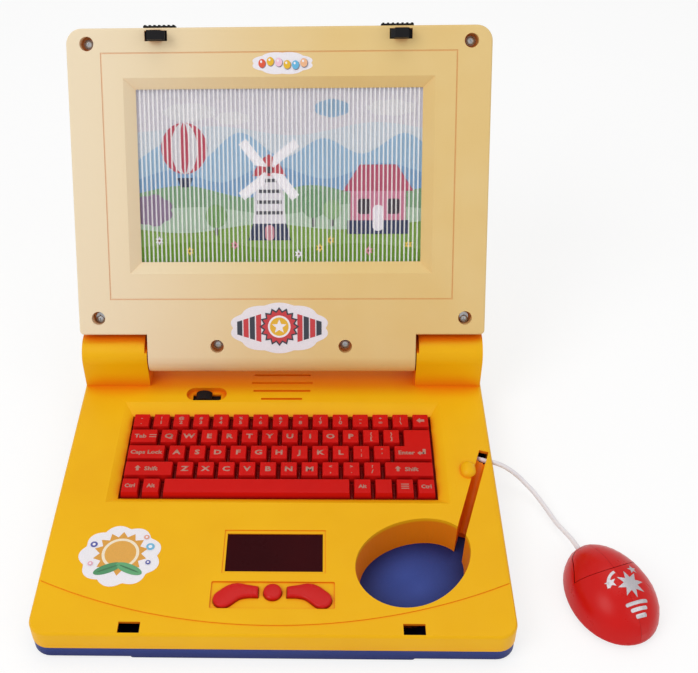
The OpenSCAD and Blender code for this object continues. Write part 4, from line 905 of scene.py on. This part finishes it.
def makeStickers():
    # small label over the screen: a row of coloured beads
    label = Sticker(stickers["small"], -1)
    for i, colour in enumerate(("#E0522B", "#E9B81F", "#F2C7DC", "#E9B81F", "#62B5DF", "#F0B78A")):
        x, y = -13 + i * 5.3, 1.2 * math.sin(i * 1.3)
        label.put(ellipse(x + 0.3, y - 0.4, 4.7, 5.6, count=24), "#77707C")
        label.put(ellipse(x, y, 4.5, 5.4, count=24), colour)
        label.put(ellipse(x - 0.5, y + 1, 1.3, 1.6, count=12), "#F7F3F8")
    label.done("smallSticker", "lid", lidPlace)
    # wide label under the screen: a rosette between striped pennants
    label = Sticker(stickers["wide"], -1)
    for side in (-1, 1):
        for k in range(4):
            x0, x1 = side * (12 + 4.2 * k), side * (15.4 + 4.2 * k)
            top = 9.5 - 1.4 * k
            colour = "#262B3A" if k % 2 else "#C7343B"
            label.put([(x0, -top), (x1, -top + 1), (x1, top - 1), (x0, top)], colour)
    label.put(star(0, 1, 13.2, 10.6, 16), "#262B3A")
    label.put(star(0, 1, 11.6, 9.4, 16), "#C7343B")
    label.put(ellipse(0, 1, 15, 15), "#F4F0F5")
    label.put(ellipse(0, 1, 12.4, 12.4), "#E8B52A")
    label.put(star(0, 1, 5, 2.2, 5), "#F4F0F5")
    label.done("wideSticker", "lid", lidPlace)
    # round label on the deck: a sun over two leaves, with small rings about it
    label = Sticker(stickers["deck"], 1)
    label.put(star(0, 1.5, 16, 12.2, 14), "#D9992F")
    label.put(ellipse(0, 1.5, 22, 22), "#F3E4C8")
    label.put(ellipse(0, 1.5, 18.5, 18.5), "#DFA23C")
    for wide, high, left, right in ((17, 6.5, "#3F8A57", "#56A16B"), (13, 1, "#2E6B41", "#2E6B41")):
        label.put(ellipse(-6, -9.5, wide, high, 24, 28), left)
        label.put(ellipse(6.5, -9.5, wide, high, -24, 28), right)
    for x, y, size, colour in ((-16.5, 8, 4.2, "#4A4FA0"), (17, 6.5, 5, "#6FB6DA"),
                               (14, 13.5, 3.2, "#E39A7F"), (-16.5, -6, 3, "#E8A9BE"), (17, -5, 3, "#4A4FA0")):
        label.put(ellipse(x, y, size, size, count=24), colour)
        label.put(ellipse(x, y, size * 0.45, size * 0.45, count=16), "#F4F0F5")
    label.done("deckSticker", "base", Matrix.Identity(4))


makeStickers()
print("stickers laid on")

# silver print on the mouse

# draft is the print's thickness while it is flat, reach how many cells it may spread each way, onCut how near
# a cut, in metres, a vertex counts as on it, and above a height over the mouse; beside and seam find the gap
# between its two shells
mousePrint = {"at": (3.8, -10), "spread": 1.15, "film": 0.1, "sink": 0.05, "draft": 1, "cell": 1.0,
              "reach": 30, "onCut": 1e-6, "beside": 0.7, "seam": 0.2, "above": 50,
              "dome": ("mouse_shell_left", "mouse_shell_right")}


def mousePrintShapes():
    shapes = [star(0, 0, 7, 3.4, 8), star(-9, 3.5, 3, 1.3, 5), star(5.4, 7.4, 2.6, 1.1, 5)]
    for k in range(3):
        shapes.append(rounded(-7.5 + 1.5 * k, -9.6 - 2.6 * k, 4.5 - 1.5 * k, -8.1 - 2.6 * k, 0.7, 3))
    bow = range(100, 171, 7)
    shapes.append([polar(-3, 0, 8.8, a) for a in bow] + [polar(-3, 0, 7.4, a) for a in reversed(bow)])
    (x, y), spread = mousePrint["at"], mousePrint["spread"]
    return [[(x + spread * u, y + spread * v) for u, v in outline] for outline in shapes]


# the print is drawn flat over the mouse, cut into small cells and let down on its dome
def makeMousePrint():
    domes = []
    for name in mousePrint["dome"]:
        shell = nodes[name].data
        corners = [face.vertices for face in shell.polygons]
        domes.append(BVHTree.FromPolygons([v.co for v in shell.vertices], corners))
    turn = Matrix.Rotation(math.radians(mouse["turn"]), 4, "Z")
    place = Matrix.Translation((mouse["x"] * mm, mouse["y"] * mm, 0)) @ turn
    bm = bmesh.new()
    for outline in mousePrintShapes():
        plate(bm, outline, 0, mousePrint["draft"])
    for axis in (Vector((1, 0, 0)), Vector((0, 1, 0))):
        for step in range(-mousePrint["reach"], mousePrint["reach"] + 1):
            parts = bm.verts[:] + bm.edges[:] + bm.faces[:]
            bmesh.ops.bisect_plane(bm, geom=parts, plane_co=axis * step * mousePrint["cell"] * mm,
                                   plane_no=axis, dist=mousePrint["onCut"])
    bmesh.ops.triangulate(bm, faces=bm.faces)

    def domeHeight(x, y):
        spot = place @ Vector((x, y, mousePrint["above"] * mm))
        hits = [dome.ray_cast(spot, Vector((0, 0, -1))) for dome in domes]
        return max([hit[0].z for hit in hits if hit[0] is not None], default=0)

    for v in bm.verts:
        lift = mousePrint["film"] if v.co.z > mousePrint["draft"] / 2 * mm else -mousePrint["sink"]
        spot = place @ Vector((v.co.x, v.co.y, 0))
        height = domeHeight(v.co.x, v.co.y)
        sides = (-mousePrint["beside"], mousePrint["beside"])
        beside = [domeHeight(v.co.x + side * mm, v.co.y) for side in sides]
        if height < min(beside) - mousePrint["seam"] * mm:  # over the gap between the shells
            height = sum(beside) / 2
        v.co = Vector((spot.x, spot.y, height + lift * mm))
    piece = meshObject("mousePrint", bm, silverFoil)
    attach(piece, "mouse")


makeMousePrint()
print("mouse printed")

# table, lamps and the white room

# seen straight on, the table glows and takes shadow on its grey; ambient is what the white room throws on the
# object, and gap keeps the table clear of its feet; lengths are in metres here, and power in watts
room = {"floor": 6.0, "gap": 0.0002, "glow": 0.72, "grey": 0.3, "ambient": 0.5, "aim": (0, 0, 0.05),
        "lamps": {"keyLamp": {"at": (-1.1, -0.9, 1.5), "size": 1.2, "power": 13},
                  "fillLamp": {"at": (1.2, -0.9, 1.1), "size": 1.4, "power": 4},
                  "topLamp": {"at": (0.1, 0.5, 1.8), "size": 1.6, "power": 6}}}


# 1 where a thing is seen, straight on, in a shine or through plastic, and 0 where it only lights others
def seenByEye(tree):
    rays = addNode(tree, "ShaderNodeLightPath")
    direct = addNode(tree, "ShaderNodeMath", {
        0: rays.outputs["Is Camera Ray"], 1: rays.outputs["Is Glossy Ray"]}, operation="MAXIMUM")
    shown = addNode(tree, "ShaderNodeMath", {
        0: direct.outputs["Value"], 1: rays.outputs["Is Transmission Ray"]}, operation="MAXIMUM")
    return shown.outputs["Value"]


def makeFloor():
    material, tree = newMaterial("tablePaper")
    matt = addNode(tree, "ShaderNodeBsdfDiffuse", {"Color": linear("#FFFFFF")})
    glow = addNode(tree, "ShaderNodeEmission", {"Color": linear("#FFFFFF"), "Strength": room["glow"]})
    dim = addNode(tree, "ShaderNodeBsdfDiffuse", {"Color": [room["grey"]] * 3 + [1]})
    seen = addNode(tree, "ShaderNodeAddShader", {0: glow.outputs["Emission"], 1: dim.outputs["BSDF"]})
    both = addNode(tree, "ShaderNodeMixShader", {
        0: seenByEye(tree), 1: matt.outputs["BSDF"], 2: seen.outputs["Shader"]})
    addNode(tree, "ShaderNodeOutputMaterial", {"Surface": both.outputs["Shader"]})
    half = room["floor"] / 2
    bm = bmesh.new()
    bm.faces.new([bm.verts.new((x, y, -room["gap"])) for x, y in rectangle(-half, -half, half, half)])
    floor = meshObject("table", bm, material)


def lightRoom():
    world = bpy.data.worlds.new("whiteRoom")
    bpy.context.scene.world = world
    world.use_nodes = True
    tree = world.node_tree
    tree.nodes.clear()
    level = addNode(tree, "ShaderNodeMix", {
        0: seenByEye(tree), 2: room["ambient"], 3: 1.0}, data_type="FLOAT")
    sky = addNode(tree, "ShaderNodeBackground", {"Color": linear("#FFFFFF"), "Strength": level.outputs[0]})
    addNode(tree, "ShaderNodeOutputWorld", {"Surface": sky.outputs["Background"]})
    for name, lamp in room["lamps"].items():
        data = bpy.data.lights.new(name, "AREA")
        data.shape = "DISK"
        data.size = lamp["size"]
        data.energy = lamp["power"]
        light = bpy.data.objects.new(name, data)
        light.location = lamp["at"]
        aim = Vector(room["aim"]) - Vector(lamp["at"])
        light.rotation_euler = aim.to_track_quat("-Z", "Y").to_euler()
        bpy.context.scene.collection.objects.link(light)


makeFloor()
lightRoom()
bpy.context.scene.view_settings.view_transform = "Standard"
print("room lit")
